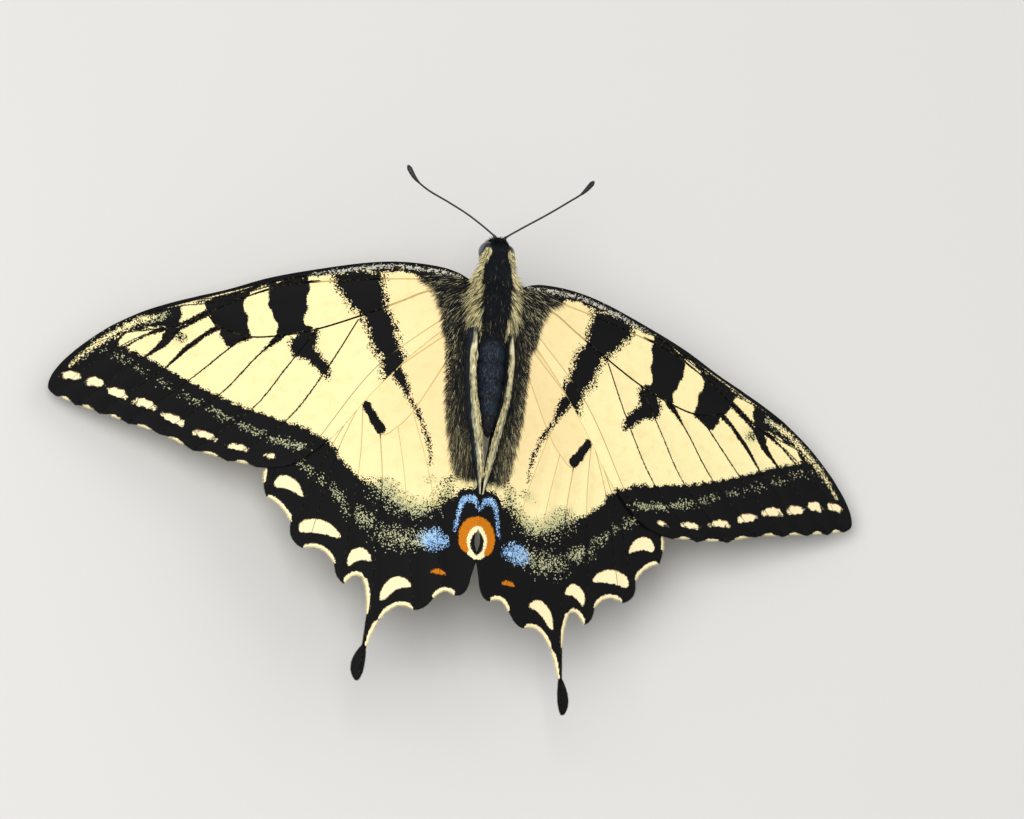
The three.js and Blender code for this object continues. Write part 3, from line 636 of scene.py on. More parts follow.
def wingMarks(kind, xy, under=False):
    # Every marking as a signed distance or a share at the points xy, as named values for the shader
    marks, veins = markings[kind], wingVeins[kind]
    marks = {**marks, **marks["under"]} if under else marks
    u, v = xy.T
    black, pale, rim, orange, blue, near = (np.full(len(xy), 9.0) for _ in range(6))
    soft, paleSoft, blueSoft = (np.full(len(xy), softness) for softness in (0.1, 0.14, 0.3))
    for softness, outline in marks["black"]:
        d = patchDistance(xy, outline)
        soft = np.where(d < black, softness, soft)
        black = np.minimum(black, d)
    wobble = np.sin(3.4 * u + 2) * np.sin(2.9 * v + 1.6 * u)
    black = black + marks["wobble"] * wobble
    if kind == "forewing":
        # A powdered place between the two last black streaks
        powder = np.exp(-(np.hypot(*(xy - marks["powderAt"]).T) / marks["powderReach"]) ** 2)
    else:
        # The yellow fades into the black as powder towards the body
        powder = smoothStep(*fade["outer"], u) * smoothStep(*fade["inner"], u)
        powder = powder * smoothStep(*fade["behind"], v)
        soft = soft + fade["softenUnder" if under else "soften"] * powder
        black = black - fade["widen"] * powder
        black = np.where(black < 0, black * (1 + 1.4 * powder), black)
    # Black lines along the veins, in the outer part of the forewing
    for points, *_, dark in veins.values():
        d = nearestOn(xy, smoothLine(points, 5))[0]
        near = np.minimum(near, d)
        if dark > 0.75 and marks["veinLine"] > 0:
            d = d - marks["veinLine"] * smoothStep(12, 15, u)
            soft = np.where(d < black, 0.12, soft)
            black = np.minimum(black, np.where(u > 12, d, 9))
    for name, width, reach in marks["streaks"]:
        d, _, along = nearestOn(xy, smoothLine(veins[name][0], 5))
        d = d - width * np.clip(1 - along / reach, 0, 1)
        soft = np.where(d < black, 0.2, soft)
        black = np.minimum(black, d)
    for stroke, widths in marks.get("strokes", []):
        d, _, along = nearestOn(xy, smoothLine(stroke, 6))
        d = d - alongLine(along, widths)
        soft = np.where(d < black, 0.12, soft)
        black = np.minimum(black, d)
    for band, widths in marks.get("bands", []):
        d, _, along = nearestOn(xy, smoothLine(band, 6))
        cut = alongLine(along, widths) - d
        black = np.maximum(black, cut)
        soft = np.where(cut > -0.3, 0.5, soft)
    # Cream: rounded spots and crescents, each with a rust-coloured rim, the hook and thin lines
    inwards = np.array([0, marks["rimWidth"]])
    uneven = 0.09 * np.sin(5.3 * u + 1) * np.sin(4.7 * v + 2.2 * u)
    for centre, length, height, tilt in marks.get("spots", []):
        pale = np.minimum(pale, ellipseDistance(xy, centre, (length, height), tilt) + uneven)
        rim = np.minimum(rim, ellipseDistance(xy - inwards, centre, (length, height), tilt) + 0.06)
    for outline in marks.get("crescents", []):
        pale = np.minimum(pale, patchDistance(xy, outline))
        rim = np.minimum(rim, patchDistance(xy - inwards, outline) + 0.06)
    for outline in marks.get("creamHook", []):
        pale = np.minimum(pale, patchDistance(xy, outline))
    for band, widths in marks.get("lines", []):
        d, _, along = nearestOn(xy, smoothLine(band, 6))
        d = d - alongLine(along, widths)
        paleSoft = np.where(d < pale, 0.06, paleSoft)
        pale = np.minimum(pale, d)
    # Cream edges of the bays
    line, cream = marginTone(kind)
    d, _, along = nearestOn(xy, line)
    width = marks["edgeWidth"] * alongLine(along, cream)
    pale = np.minimum(pale, np.where(width > 0.03, d - width, 9))
    for outline in marks.get("orange", []):
        orange = np.minimum(orange, patchDistance(xy, outline))
    for outline, softness in marks.get("blue", []):
        d = patchDistance(xy, outline)
        blueSoft = np.where(d < blue, softness, blueSoft)
        blue = np.minimum(blue, d)
    # Pale dust, parted along the veins, and clouds that aren't
    dust, cloud = (np.max([bandShare(xy, *row) for row in marks[key]], 0) for key in ("dust", "clouds"))
    dust = np.maximum(dust * smoothStep(0.0, 0.6, near), cloud)
    if kind == "hindwing" and not under:
        # olive dust on the black just past its dissolving edge
        olive = fade["dust"] * powder * smoothStep(4.2, 5.6, u) * smoothStep(-3.0, -0.4, black)
        dust = np.maximum(dust, olive)
    silver = smoothStep(0.05, 0.4, cloud) * (kind == "forewing")
    warmth = 0.7 * smoothStep(16, 2, np.hypot(u - 2, v * 1.4))
    if kind == "hindwing":
        warmth = smoothStep(14, 3, np.hypot(u - 3, (v + 7) * 0.8)) * 0.8
    powder = powder * (smoothStep(-1.5, 0.2, -black) if kind == "hindwing" else 0.8)
    return {"black": black, "blackSoft": soft, "pale": pale, "orange": orange, "blue": blue,
            "blueSoft": blueSoft, "dust": dust, "silver": silver, "warmth": warmth, "rim": rim,
            "paleSoft": paleSoft, "powder": powder}


# Wings: surface


def wingHeight(kind, xy):
    # Membrane height: lift + pleat exp(-(vein distance / 0.6)^2) and a slow fall to the outer margin
    spec = wingShapes[kind]
    near = np.full(len(xy), 9.0)
    for points, *_ in wingVeins[kind].values():
        near = np.minimum(near, nearestOn(xy, smoothLine(points, 4))[0])
    pleat = 0.08 * np.exp(-(near / 0.6) ** 2)
    if kind == "forewing":
        inner = nearestOn(xy, smoothLine(spec["innerMargin"], 3))[0]
        return spec["lift"] + pleat - 0.2 * smoothStep(6, 0, inner) - 0.15 * smoothStep(30, 42, xy[:, 0])
    return spec["lift"] + pleat - 0.25 * smoothStep(4.5, 0.5, xy[:, 0])


def wingSheet(outline, step):
    # A square grid cut to the outline: points within 0.6 of a step are pulled onto it
    low = outline.min(0) - 1.5 * step
    count = np.ceil((outline.max(0) + 1.5 * step - low) / step).astype(int) + 1
    gridU, gridV = np.meshgrid(np.arange(count[0]), np.arange(count[1]), indexing="ij")
    xy = low + step * np.stack([gridU, gridV], -1).reshape(-1, 2)
    distance, point = outlineDistance(xy, outline)
    near = np.abs(distance) < 0.6 * step
    xy = np.where(near[:, None], point, xy)
    kept = (distance < 0) | near
    index = np.arange(len(xy)).reshape(count)
    corners = np.stack([index[:-1, :-1], index[1:, :-1], index[1:, 1:], index[:-1, 1:]], -1).reshape(-1, 4)
    held = kept[corners]
    inside = (distance[corners] < -0.05 * step).any(1)
    quads = corners[held.all(1) & inside]
    cut = (held.sum(1) == 3) & inside
    turn = (np.argmin(held[cut], 1)[:, None] + np.arange(1, 4)) % 4
    triangles = np.take_along_axis(corners[cut], turn, 1)
    used = np.unique(np.concatenate([quads.ravel(), triangles.ravel()]))
    renumber = np.zeros(len(xy), int)
    renumber[used] = np.arange(len(used))
    return xy[used], renumber[quads], renumber[triangles], distance[used]


def borderEdges(faces):
    # Directed edges that only one face has
    edges = np.concatenate([np.stack([f, np.roll(f, -1, 1)], -1).reshape(-1, 2) for f in faces])
    top = edges.max() + 1
    key = edges[:, 0] * top + edges[:, 1]
    reverse = edges[:, 1] * top + edges[:, 0]
    return edges[~np.isin(key, reverse)]


def wingPatch(kind, xy):
    # Place of wing points on the bake map, upper side, and the shift to the lower side
    outline = outlines[kind]
    low, high = outline.min(0), outline.max(0)
    stacked = np.array([1, 2]) if kind == "forewing" else np.array([2, 1])
    size = ((high - low) * stacked).max() * 1.03
    shift = (stacked - 1) * (high - low) / size * 1.02
    return (xy - low) / size + 0.005, shift


def wingPiece(kind, sideName, material):
    # Upper and lower membrane half a thickness either side of the wing's height, closed round the margin
    spec = wingShapes[kind]
    outline = outlines[kind]
    xy, quads, triangles, distance = wingSheet(outline, spec["step"])
    marks, below = wingMarks(kind, xy), wingMarks(kind, xy, under=True)
    height = wingHeight(kind, xy)
    side = sides[sideName]
    u, v = xy.T
    # Thinner towards the margin
    half = spec["thickness"] / 2 * (0.45 + 0.55 * smoothStep(0, -0.8, np.minimum(distance, 0)))
    upper = onWing(u, v, height + half, side)
    lower = onWing(u, v, height - half, side)
    n = len(xy)
    edge = borderEdges([quads, triangles])
    wall = np.stack([edge[:, 1], edge[:, 0], edge[:, 0] + n, edge[:, 1] + n], -1)
    faces = [quads, triangles, quads[:, ::-1] + n, triangles[:, ::-1] + n, wall]
    flat, shift = wingPatch(kind, xy)
    values = {key: np.concatenate([value, below[key]]) for key, value in marks.items()}
    values["under"] = np.concatenate([np.zeros(n), np.ones(n)])
    shape = facingOut({"points": np.vstack([upper, lower]), "faces": faces, "values": values,
                       "uv": np.vstack([flat, flat + shift])})
    return makePiece(f"{kind}_skin_{sideName}", shape, material, [f"{kind}_{sideName}"])


wingPaint = {"yellow": "F4E4AA", "warm": "EDD29A", "under": "F3E8BC", "black": "050506", "cream": "F5E3B2",
             "orange": "C87506", "rust": "985203", "blue": "4C7FBE", "paleBlue": "B2D4EA", "dust": "B4B38C",
             "powder": "B6B67F", "silver": "BDB9AE", "rim": "7A4612"}


def wingMaterial():
    material, tree, shader = newMaterial("wing scales")
    put, math2, blend, value = tools(tree)
    place = put("TexCoord").outputs["Object"]
    grain = placeGroup(tree, scaleGrain, {"Position": place, "Per Metre": 10500}).outputs

    def mask(edge, softness, which):
        inputs = {"Edge": edge, "Softness": softness, "Grain": grain[which]}
        return placeGroup(tree, dustyEdge, inputs).outputs[0]

    ground = blend(value("warmth"), paint(wingPaint["yellow"]), paint(wingPaint["warm"]))
    ground = blend(value("under"), ground, paint(wingPaint["under"]))
    ground = blend(math2("MULTIPLY", grain["Grain 3"], 0.12), ground, paint("C9AE62"))
    # Painted shade: noise patches about a millimetre across darken the yellow, standing in for the membrane's
    # ripples
    ripple = put("TexNoise", {"Vector": place, "Scale": 950.0, "Detail": 3.0}).outputs[0]
    ripple = math2("MULTIPLY", math2("SUBTRACT", ripple, 0.5), 1.2, clamp=True)
    ground = blend(ripple, ground, paint("D6BF78"))
    ground = blend(math2("MULTIPLY", value("powder"), 0.8), ground, paint(wingPaint["powder"]))
    black = mask(value("black"), value("blackSoft"), "Grain")
    dusted = math2("LESS_THAN", grain["Grain 2"], value("dust"))
    dust = blend(value("silver"), paint(wingPaint["dust"]), paint(wingPaint["silver"]))
    dark = blend(dusted, paint(wingPaint["black"]), dust)
    colour = blend(black, ground, dark)
    blue = blend(grain["Grain"], paint(wingPaint["blue"]), paint(wingPaint["paleBlue"]))
    speckled = math2("MULTIPLY", mask(value("blue"), value("blueSoft"), "Grain 3"),
                     math2("GREATER_THAN", grain["Grain 2"], 0.22))
    colour = blend(speckled, colour, blue)
    rim = math2("MULTIPLY", mask(value("rim"), 0.08, "Grain 2"), 0.55)
    colour = blend(rim, colour, paint(wingPaint["rim"]))
    colour = blend(mask(value("pale"), value("paleSoft"), "Grain 3"), colour, paint(wingPaint["cream"]))
    rusty = math2("MULTIPLY", grain["Grain"], 0.4)
    orange = blend(rusty, paint(wingPaint["orange"]), paint(wingPaint["rust"]))
    colour = blend(mask(value("orange"), 0.15, "Grain 2"), colour, orange)
    tree.links.new(colour, shader.inputs["Base Color"])
    bump = put("Bump", {"Strength": 0.25, "Distance": 0.00003, "Height": grain["Height"]})
    tree.links.new(bump.outputs[0], shader.inputs["Normal"])
    shader.inputs["Roughness"].default_value = 0.62
    shader.inputs["Specular IOR Level"].default_value = 0.12
    return material


wingScales = wingMaterial()
for sideName in sides:
    wingPiece("forewing", sideName, wingScales)
    wingPiece("hindwing", sideName, wingScales)

# Veins: tubes half sunk in the membrane


def veinMaterial():
    material, tree, shader = newMaterial("wing veins")
    put, math2, blend, value = tools(tree)
    ridges = put("TexNoise", {"Vector": put("TexCoord").outputs["Object"], "Scale": 4000.0, "Detail": 1.0})
    tone = math2("ADD", value("tone"), math2("MULTIPLY", math2("SUBTRACT", ridges.outputs[0], 0.5), 0.3))
    colour = blend(tone, paint(veins["brown"]), paint(veins["black"]))
    silver = math2("MULTIPLY", value("silver"), math2("GREATER_THAN", ridges.outputs[0], 0.5))
    colour = blend(silver, colour, paint(wingPaint["silver"]))
    tree.links.new(colour, shader.inputs["Base Color"])
    shader.inputs["Roughness"].default_value = 0.9
    shader.inputs["Specular IOR Level"].default_value = 0.05
    return material


veins = {"brown": "D8BC7E", "black": "060505", "width": 0.85, "height": 0.8}


def veinPiece(kind, sideName, material):
    # Tube along each vein, radius falling evenly to the margin, cut off just inside the outline
    parts = []
    for points, atRoot, atMargin, dark in wingVeins[kind].values():
        line = smoothLine(points, 8)
        line = line[outlineDistance(line, outlines[kind])[0] < -0.08]
        marks = wingMarks(kind, line)
        tone = dark * (0.35 + 0.65 * smoothStep(8.5, 13, line[:, 0]))
        tone = np.where(marks["black"] < 0.1, 1, tone)
        radius = np.linspace(atRoot, atMargin, len(line)) * veins["width"] * mm
        centre = onWing(*line.T, wingHeight(kind, line) + 0.012, sides[sideName])
        values = {"tone": tone, "silver": smoothStep(0.4, 0.9, marks["silver"])}
        parts.append(tube(centre, radius, 8, values, veins["height"]))
        parts[-1].pop("cornerUv")
    makePiece(f"{kind}_veins_{sideName}", joined(parts), material)


veinScales = veinMaterial()
for sideName in sides:
    veinPiece("forewing", sideName, veinScales)
    veinPiece("hindwing", sideName, veinScales)

# Body: one skin under the coat

# Each row: forwards, half width, top, bottom, coat depth
trunkRows = np.array([
    (-13.75, 0.1, 0.35, 0.05, 0.03), (-13.2, 0.42, 0.55, -0.3, 0.05), (-11.6, 0.82, 0.75, -1.05, 0.07),
    (-9.6, 1.2, 0.8, -1.95, 0.08), (-7.4, 1.45, 0.8, -2.5, 0.08), (-5.2, 1.58, 0.7, -2.95, 0.1),
    (-3.5, 1.7, 0.65, -3.4, 0.25), (-2.6, 2.1, 0.9, -4.1, 0.4), (-1.4, 2.6, 1.25, -4.8, 0.45),
    (0, 2.75, 1.3, -4.9, 0.45), (1.4, 2.45, 1.05, -4.3, 0.45), (2.4, 1.85, 0.6, -3.3, 0.4),
    (3.1, 1.2, 0.15, -2.4, 0.3), (3.75, 0.95, -0.1, -2.05, 0.25), (4.6, 1.15, 0.1, -2.35, 0.25),
    (5.4, 1.15, 0.05, -2.3, 0.25), (6.1, 0.85, -0.35, -1.75, 0.2), (6.35, 0.35, -0.75, -1.25, 0.1)])
trunkLine = smoothLine(trunkRows, 12)
body = {"black": "08090A", "tan": "8B7C55", "cream": "FFF2B8", "blueBlack": "26313F",
        "skinFrom": -13.72, "skinTo": 6.33, "skinRings": 260, "skinAround": 72,
        "seamAt": -6.2, "seamEvery": 1.86,
        "stripe": [(-14, 1.2), (-11.6, 1.2), (-9, 1.5), (-5, 1.66), (-3.5, 1.5), (-2, 1.42), (0, 1.45),
                   (2.1, 1.35), (3.6, 1.12), (4.4, 0.9), (4.9, 0.7), (5.2, 0.9), (5.4, 1.6), (7, 1.6)]}


def bodyAt(y, turn):
    # Ellipse across the body at y: (half cos a, y, middle + height sin a), sunk by the coat's depth
    half, top, bottom, depth = (np.interp(y, trunkLine[:, 0], trunkLine[:, k]) for k in range(1, 5))
    share = (y - body["seamAt"]) / body["seamEvery"]
    groove = 0.06 * np.exp(-((share - np.round(share)) / 0.12) ** 2) * smoothStep(-3.4, -4, y)
    less = np.minimum(depth + groove, 0.8 * half)
    return np.stack([(half - less) * np.cos(turn), y,
                     (top + bottom) / 2 + ((top - bottom) / 2 - less) * np.sin(turn)], -1)


def bodyTone(y, turn):
    # Cream where the upper side passes the black stripe's half width; below, cream with dark lines
    half = np.interp(y, trunkLine[:, 0], trunkLine[:, 1])
    out = np.abs(half * np.cos(turn))
    stripe = np.interp(y, *np.array(body["stripe"]).T)
    above = smoothStep(-0.06, 0.06, out - stripe)
    line = np.exp(-((np.sin(turn) + 0.32) / 0.1) ** 2) + np.exp(-(np.cos(turn) / 0.13) ** 2)
    below = 1 - 0.95 * np.clip(line * smoothStep(4, 2.5, y), 0, 1)
    rear = smoothStep(-12.6, -13.3, y)
    face = smoothStep(5.1, 5.3, y) * smoothStep(-0.75, -0.45, np.sin(turn))
    return np.where(np.sin(turn) > 0, above, below) * (1 - rear) * (1 - face)


def hairMaterial():
    # Tone from black over tan to cream, with painted shade towards each lock's root and over noise clumps; a
    # blue cast where "blue" says so
    material, tree, shader = newMaterial("coat hair")
    put, math2, blend, value = tools(tree)
    place = put("TexCoord").outputs["Object"]
    speckle = put("TexNoise", {"Vector": place, "Scale": 2600.0, "Detail": 2.0}).outputs[0]
    tone = math2("MULTIPLY", value("tone"), math2("ADD", 0.85, math2("MULTIPLY", speckle, 0.3)))
    dark = blend(value("blue"), paint(body["black"]), paint(body["blueBlack"]))
    lower = blend(math2("MULTIPLY", tone, 2.0), dark, paint(body["tan"]))
    upper = blend(math2("SUBTRACT", math2("MULTIPLY", tone, 2.4), 1.2), lower, paint(body["cream"]))
    # Painted shade: darker towards each lock's root, where the locks crowd, and over clumps of noise
    root = math2("POWER", math2("SUBTRACT", 1.0, value("along"), clamp=True), 2.0)
    clump = put("TexNoise", {"Vector": place, "Scale": 1900.0, "Detail": 1.0}).outputs[0]
    shade = math2("MULTIPLY", math2("SUBTRACT", 0.56, clump), 3.0, clamp=True)
    paintedShade = math2("ADD", math2("MULTIPLY", root, 0.35), math2("MULTIPLY", shade, 0.4))
    tree.links.new(blend(paintedShade, upper, paint("0A0A0C")), shader.inputs["Base Color"])
    shader.inputs["Roughness"].default_value = 0.7
    shader.inputs["Specular IOR Level"].default_value = 0.2
    return material


def skinMaterial():
    # The coat's own colours under it, with short flat scales as bump
    material, tree, shader = newMaterial("body skin")
    put, math2, blend, value = tools(tree)
    place = put("TexCoord").outputs["Object"]
    grain = placeGroup(tree, scaleGrain, {"Position": place, "Per Metre": 9000}).outputs
    tone = math2("ADD", value("tone"), math2("MULTIPLY", math2("SUBTRACT", grain["Grain"], 0.5), 0.2))
    dark = blend(value("blue"), paint(body["black"]), paint(body["blueBlack"]))
    dark = blend(math2("MULTIPLY", grain["Grain 2"], 0.5), dark, paint("0D0F16"))
    colour = blend(tone, dark, paint("7A6840"))
    tree.links.new(colour, shader.inputs["Base Color"])
    bump = put("Bump", {"Strength": 0.5, "Distance": 0.00004, "Height": grain["Height"]})
    tree.links.new(bump.outputs[0], shader.inputs["Normal"])
    shader.inputs["Roughness"].default_value = 0.6
    return material


def bodySkin():
    places = np.linspace(body["skinFrom"], body["skinTo"], body["skinRings"])
    turns = np.arange(body["skinAround"]) / body["skinAround"] * tau
    y, turn = np.meshgrid(places, turns, indexing="ij")
    tone = bodyTone(y, turn)
    blue = smoothStep(-3.2, -4.5, y) * smoothStep(-12.4, -10.8, y)
    shape = overRings(inFrame(bodyAt(y, turn)), {"tone": tone, "blue": blue})
    return makePiece("body_skin", shape, skinMaterial(), ["head", "neck", "thorax", "abdomen"])


bodySkin()

# Coat: locks that follow the lie of the hair

coat = {  # (locks, width of each)
    "thorax": (8500, 0.052), "head": (2600, 0.03), "face": (1300, 0.032), "crown": (5600, 0.045),
    "abdomen": (9000, 0.045), "flank": (4800, 0.042)}
coatHair = hairMaterial()


def bodyFrame(y, turn):
    # Outward normal and rearward direction of the skin, from small steps along and around it
    step = 0.01
    root = bodyAt(y, turn)
    around = bodyAt(y, turn + step) - root
    rear = unit(bodyAt(y - step, turn) - root)
    normal = unit(np.cross(around, -rear))
    middle = np.interp(y, trunkLine[:, 0], (trunkLine[:, 2] + trunkLine[:, 3]) / 2)
    out = root - np.stack([0 * y, y, middle], -1)
    normal *= np.sign(np.einsum("ij,ij->i", normal, out))[:, None]
    return root, normal, rear


def onMap(turn, y):  # place of the body's skin on the bake map
    return np.stack([turn, (y + 13.8) / 20.3], -1)


def bodyLocks(seed, part, low, high, lengthAt, liftAt, splayAt, toneAt, flat=0.6, curl=-0.15, between=None):
    # Roots even over the skin: places drawn in proportion to its girth; lie = rear + splay out + lift up
    draw = np.random.default_rng(seed)
    count, width = coat[part]
    y = draw.uniform(low, high, count * 3)
    girth = np.interp(y, trunkLine[:, 0], trunkLine[:, 1] + (trunkLine[:, 2] - trunkLine[:, 3]) / 2)
    y = y[draw.random(len(y)) * girth.max() < girth][:count]
    turn = draw.uniform(0, tau, len(y))
    if between:  # only on the shoulders, at these heights above the middle
        kept = (np.sin(turn) > between[0]) & (np.sin(turn) < between[1])
        y, turn = y[kept], turn[kept]
    root, normal, rear = bodyFrame(y, turn)
    jitter = draw.normal(0, 1, (len(y), 3))
    splay, lift = splayAt(y, turn), liftAt(y, turn)
    sideways = np.stack([np.sign(np.cos(turn)), 0 * y, 0 * y], -1)
    lie = rear * np.cos(splay)[:, None] + sideways * np.sin(splay)[:, None]
    lie = unit(lie - normal * np.einsum("ij,ij->i", lie, normal)[:, None])
    lie = unit(lie + normal * lift[:, None] + 0.12 * jitter)
    length = lengthAt(y, turn) * draw.uniform(0.7, 1.2, len(y))
    tone = np.clip(toneAt(y, turn, draw), 0, 1)
    patch = onMap(turn / tau, y) * 0.98 + 0.01
    share = (y - body["seamAt"]) / body["seamEvery"]
    seam = np.exp(-((share - np.round(share)) / 0.1) ** 2)
    rear = smoothStep(-3.2, -4.5, y) * smoothStep(-13.2, -11.0, y) * (1 - seam)
    blue = np.clip(rear * 1.3 + 0.35 * (y > -3.4), 0, 1.3) * draw.uniform(0.2, 1.0, len(y))
    return tufts(inFrame(root), lie, normal, length * mm, width * draw.uniform(0.7, 1.3, len(y)) * mm, patch,
                 {"tone": tone, "blue": blue}, curl, flat)


def upperTone(y, turn, draw):
    # The markings, with some strands of the other tone near their edge
    tone = bodyTone(y, turn)
    pale = draw.random(len(y)) < (0.03 + 0.07 * smoothStep(1, -2.5, y)) * smoothStep(-3.8, -3.0, y)
    dark = draw.random(len(y)) < 0.34
    cream = np.where(dark, draw.uniform(0.05, 0.45, len(y)), draw.uniform(0.85, 1.2, len(y)))
    return np.where(tone < 0.5, np.where(pale, draw.uniform(0.1, 0.4, len(y)), 0.0), cream)


def thoraxCoat():
    # Short over the back, long and splayed out over the shoulders
    half = lambda y: np.interp(y, trunkLine[:, 0], trunkLine[:, 1])
    side = lambda y, turn: smoothStep(1.1, 1.7, np.abs(half(y) * np.cos(turn)))
    up = lambda turn: smoothStep(-0.3, 0.2, np.sin(turn))
    splay = lambda y: np.interp(y, [-3.5, -2, 0, 1.5, 3, 4], [0.2, 0.45, 0.95, 0.8, 0.4, 0.2])
    return bodyLocks(
        11, "thorax", -3.6, 3.9, toneAt=upperTone,
        lengthAt=lambda y, turn: 0.75 + (0.75 + 0.5 * smoothStep(1, -2, y)) * side(y, turn) * up(turn),
        liftAt=lambda y, turn: 0.35 + 0.1 * side(y, turn),
        splayAt=lambda y, turn: side(y, turn) * up(turn) * splay(y))


def headCoat():
    # The cap between the feelers stands up and forwards
    brow = lambda y, turn: smoothStep(5.3, 5.9, y) * smoothStep(-0.4, 0.3, np.sin(turn))
    cap = bodyLocks(
        12, "head", 3.6, 6.33, toneAt=upperTone,
        lengthAt=lambda y, turn: 0.42 + 0.15 * brow(y, turn) + 0.25 * smoothStep(5, 4, y),
        liftAt=lambda y, turn: 0.45 + 2.2 * brow(y, turn),
        splayAt=lambda y, turn: 0.25 * smoothStep(5, 4, y) + 0 * turn)
    face = bodyLocks(
        16, "face", 5.95, 6.34, lengthAt=lambda y, turn: 0.34 + 0 * y,
        liftAt=lambda y, turn: 0.7 + 0 * y, splayAt=lambda y, turn: 0 * y,
        toneAt=lambda y, turn, draw: np.where(draw.random(len(y)) < 0.12, 0.3, 0.0))
    return joined([cap, face])


def flankCoat():
    # Long loose strands from the thorax's shoulders, out and back over the wings' bases
    def toneAt(y, turn, draw):
        return np.where(draw.random(len(y)) < 0.35, 0.1, draw.uniform(0.85, 1.2, len(y)))

    return bodyLocks(
        15, "flank", -3.2, 2.9, lengthAt=lambda y, turn: 2.5 - 0.7 * smoothStep(0.5, 2.9, y),
        liftAt=lambda y, turn: 0.3 + 0 * y, toneAt=toneAt, curl=-0.2, between=(0.38, 0.8),
        splayAt=lambda y, turn: np.interp(y, [-3.2, -1.5, 0, 2.9], [0.4, 0.75, 1.1, 0.85]))


def abdomenCoat():
    # The locks over the flanks stand out and fill the slit beside each fold
    flank = lambda y, turn: np.exp(-((np.sin(turn) - 0.55) / 0.25) ** 2) * smoothStep(-12.5, -11.5, y)
    ends = lambda y: 0.3 + 0.3 * smoothStep(-4.5, -3.4, y) + 0.15 * smoothStep(-12.4, -13.4, y)
    return bodyLocks(
        13, "abdomen", -13.6, -3.4, lengthAt=lambda y, turn: ends(y) + 0.15 * flank(y, turn),
        liftAt=lambda y, turn: 0.1 + 0.5 * flank(y, turn), splayAt=lambda y, turn: 0.6 * flank(y, turn),
        toneAt=upperTone, flat=0.35)


# Each row: forwards, half width, height over the midline, height at the side
crownRows = np.array([
    (1.7, 2.2, 0.6, -0.2), (2.3, 1.95, 0.5, -0.15), (3.0, 1.5, 0.33, -0.2), (3.6, 1.3, 0.22, -0.25),
    (4.2, 1.4, 0.25, -0.15), (4.6, 1.42, 0.28, 0.0), (5.0, 1.28, 0.28, 0.1), (5.4, 1.0, 0.2, 0.12),
    (5.8, 0.68, 0.0, -0.12), (6.2, 0.5, -0.35, -0.6)])


def crownCoat():
    # Over the head and neck: height = middle - (middle - side) (x / half)^2; the brow's locks stand up
    draw = np.random.default_rng(14)
    n, width = coat["crown"]
    y = draw.uniform(1.7, 6.2, n)
    half, middle, edge = pickAlong(y, crownRows[:, 0], crownRows[:, 1:]).T
    share = draw.uniform(-1, 1, n)
    x = half * share
    root = np.stack([x, y, middle - (middle - edge) * share**2 - 0.04], -1)
    stripe = np.interp(y, *np.array(body["stripe"]).T)
    cream = smoothStep(-0.05, 0.05, np.abs(x) - stripe) > draw.random(n)
    brow = smoothStep(5.35, 5.9, y)
    splay = np.abs(share) * np.interp(y, [2.3, 3.5, 4.5, 5.4], [0.95, 0.95, 0.7, 0.5])
    splay = splay * np.where(cream, 1, 0.5)
    lie = np.stack([np.sign(x) * np.sin(splay), -np.cos(splay) + 1.3 * brow, 0.22 + 1.3 * brow], -1)
    lie = unit(lie + 0.13 * draw.normal(0, 1, (n, 3)))
    lift = unit(np.stack([0.8 * share, 0.25 * brow, 1 + 0 * y], -1))
    length = np.interp(y, [2.3, 3.2, 4.2, 5.0, 5.6, 6.2], [1.1, 1.2, 0.9, 0.55, 0.6, 0.62])
    length = length * draw.uniform(0.7, 1.15, n) * np.where(cream, 1, 0.8)
    pale = np.where(draw.random(n) < 0.3, draw.uniform(0.05, 0.45, n), draw.uniform(0.85, 1.2, n))
    tone = np.where(cream, pale, np.where(draw.random(n) < 0.02, 0.25, 0.0))
    width = width * draw.uniform(0.7, 1.3, n) * mm
    values = {"tone": np.clip(tone, 0, 1), "blue": draw.uniform(0.05, 0.4, n)}
    patch = onMap(0.25 - 0.2 * share, y)
    return tufts(inFrame(root), lie, lift, length * mm, width, patch, values, -0.2, 0.6)


for name, slot, build in (("thorax_coat", "coat", thoraxCoat), ("head_coat", "coat", headCoat),
                          ("crown_coat", "coat", crownCoat), ("flank_coat", "coat", flankCoat),
                          ("abdomen_coat", "abdomen", abdomenCoat)):
    makePiece(name, build(), coatHair)

# Hair on the wings' bases and down the hindwings' inner band

wingHair = {"foreLocks": 2600, "bandLocks": 7200, "tuftLocks": 260, "width": 0.023}


def lieOnWing(direction, side):
    # A direction given as (u, v, w) turned into the frame
    c, s = math.cos(pose["wingDroop"]), math.sin(pose["wingDroop"])
    u, v, w = direction.T
    return unit(np.stack([side * (u * c + w * s), v, w * c - u * s], -1))


def wingLocks(seed, kind, count, outline, lieAt, lengthAt, toneAt, liftBy, side):
    # Roots even inside an outline on the wing's upper side
    draw = np.random.default_rng(seed)
    area = smoothLine(outline, 4, closed=True)
    xy = draw.uniform(area.min(0), area.max(0), (count * 4, 2))
    xy = xy[outlineDistance(xy, area)[0] < 0][:count]
    n = len(xy)
    height = wingHeight(kind, xy) + 0.03
    lie = lieAt(xy, draw)
    lie = np.column_stack([lie, liftBy * draw.uniform(0.4, 1.4, n)]) + 0.1 * draw.normal(0, 1, (n, 3))
    flat, _ = wingPatch(kind, xy)
    up = lieOnWing(np.tile([0.0, 0.0, 1.0], (n, 1)), side)
    tone = np.clip(toneAt(xy, draw), 0, 1)
    length = lengthAt(xy, draw) * draw.uniform(0.7, 1.2, n) * mm
    width = wingHair["width"] * draw.uniform(0.7, 1.4, n) * mm
    return tufts(onWing(*xy.T, height, side), lieOnWing(unit(lie), side), up, length, width, flat,
                 {"tone": tone, "blue": draw.uniform(0, 0.7, n)}, curl=-0.12, flat=0.7)


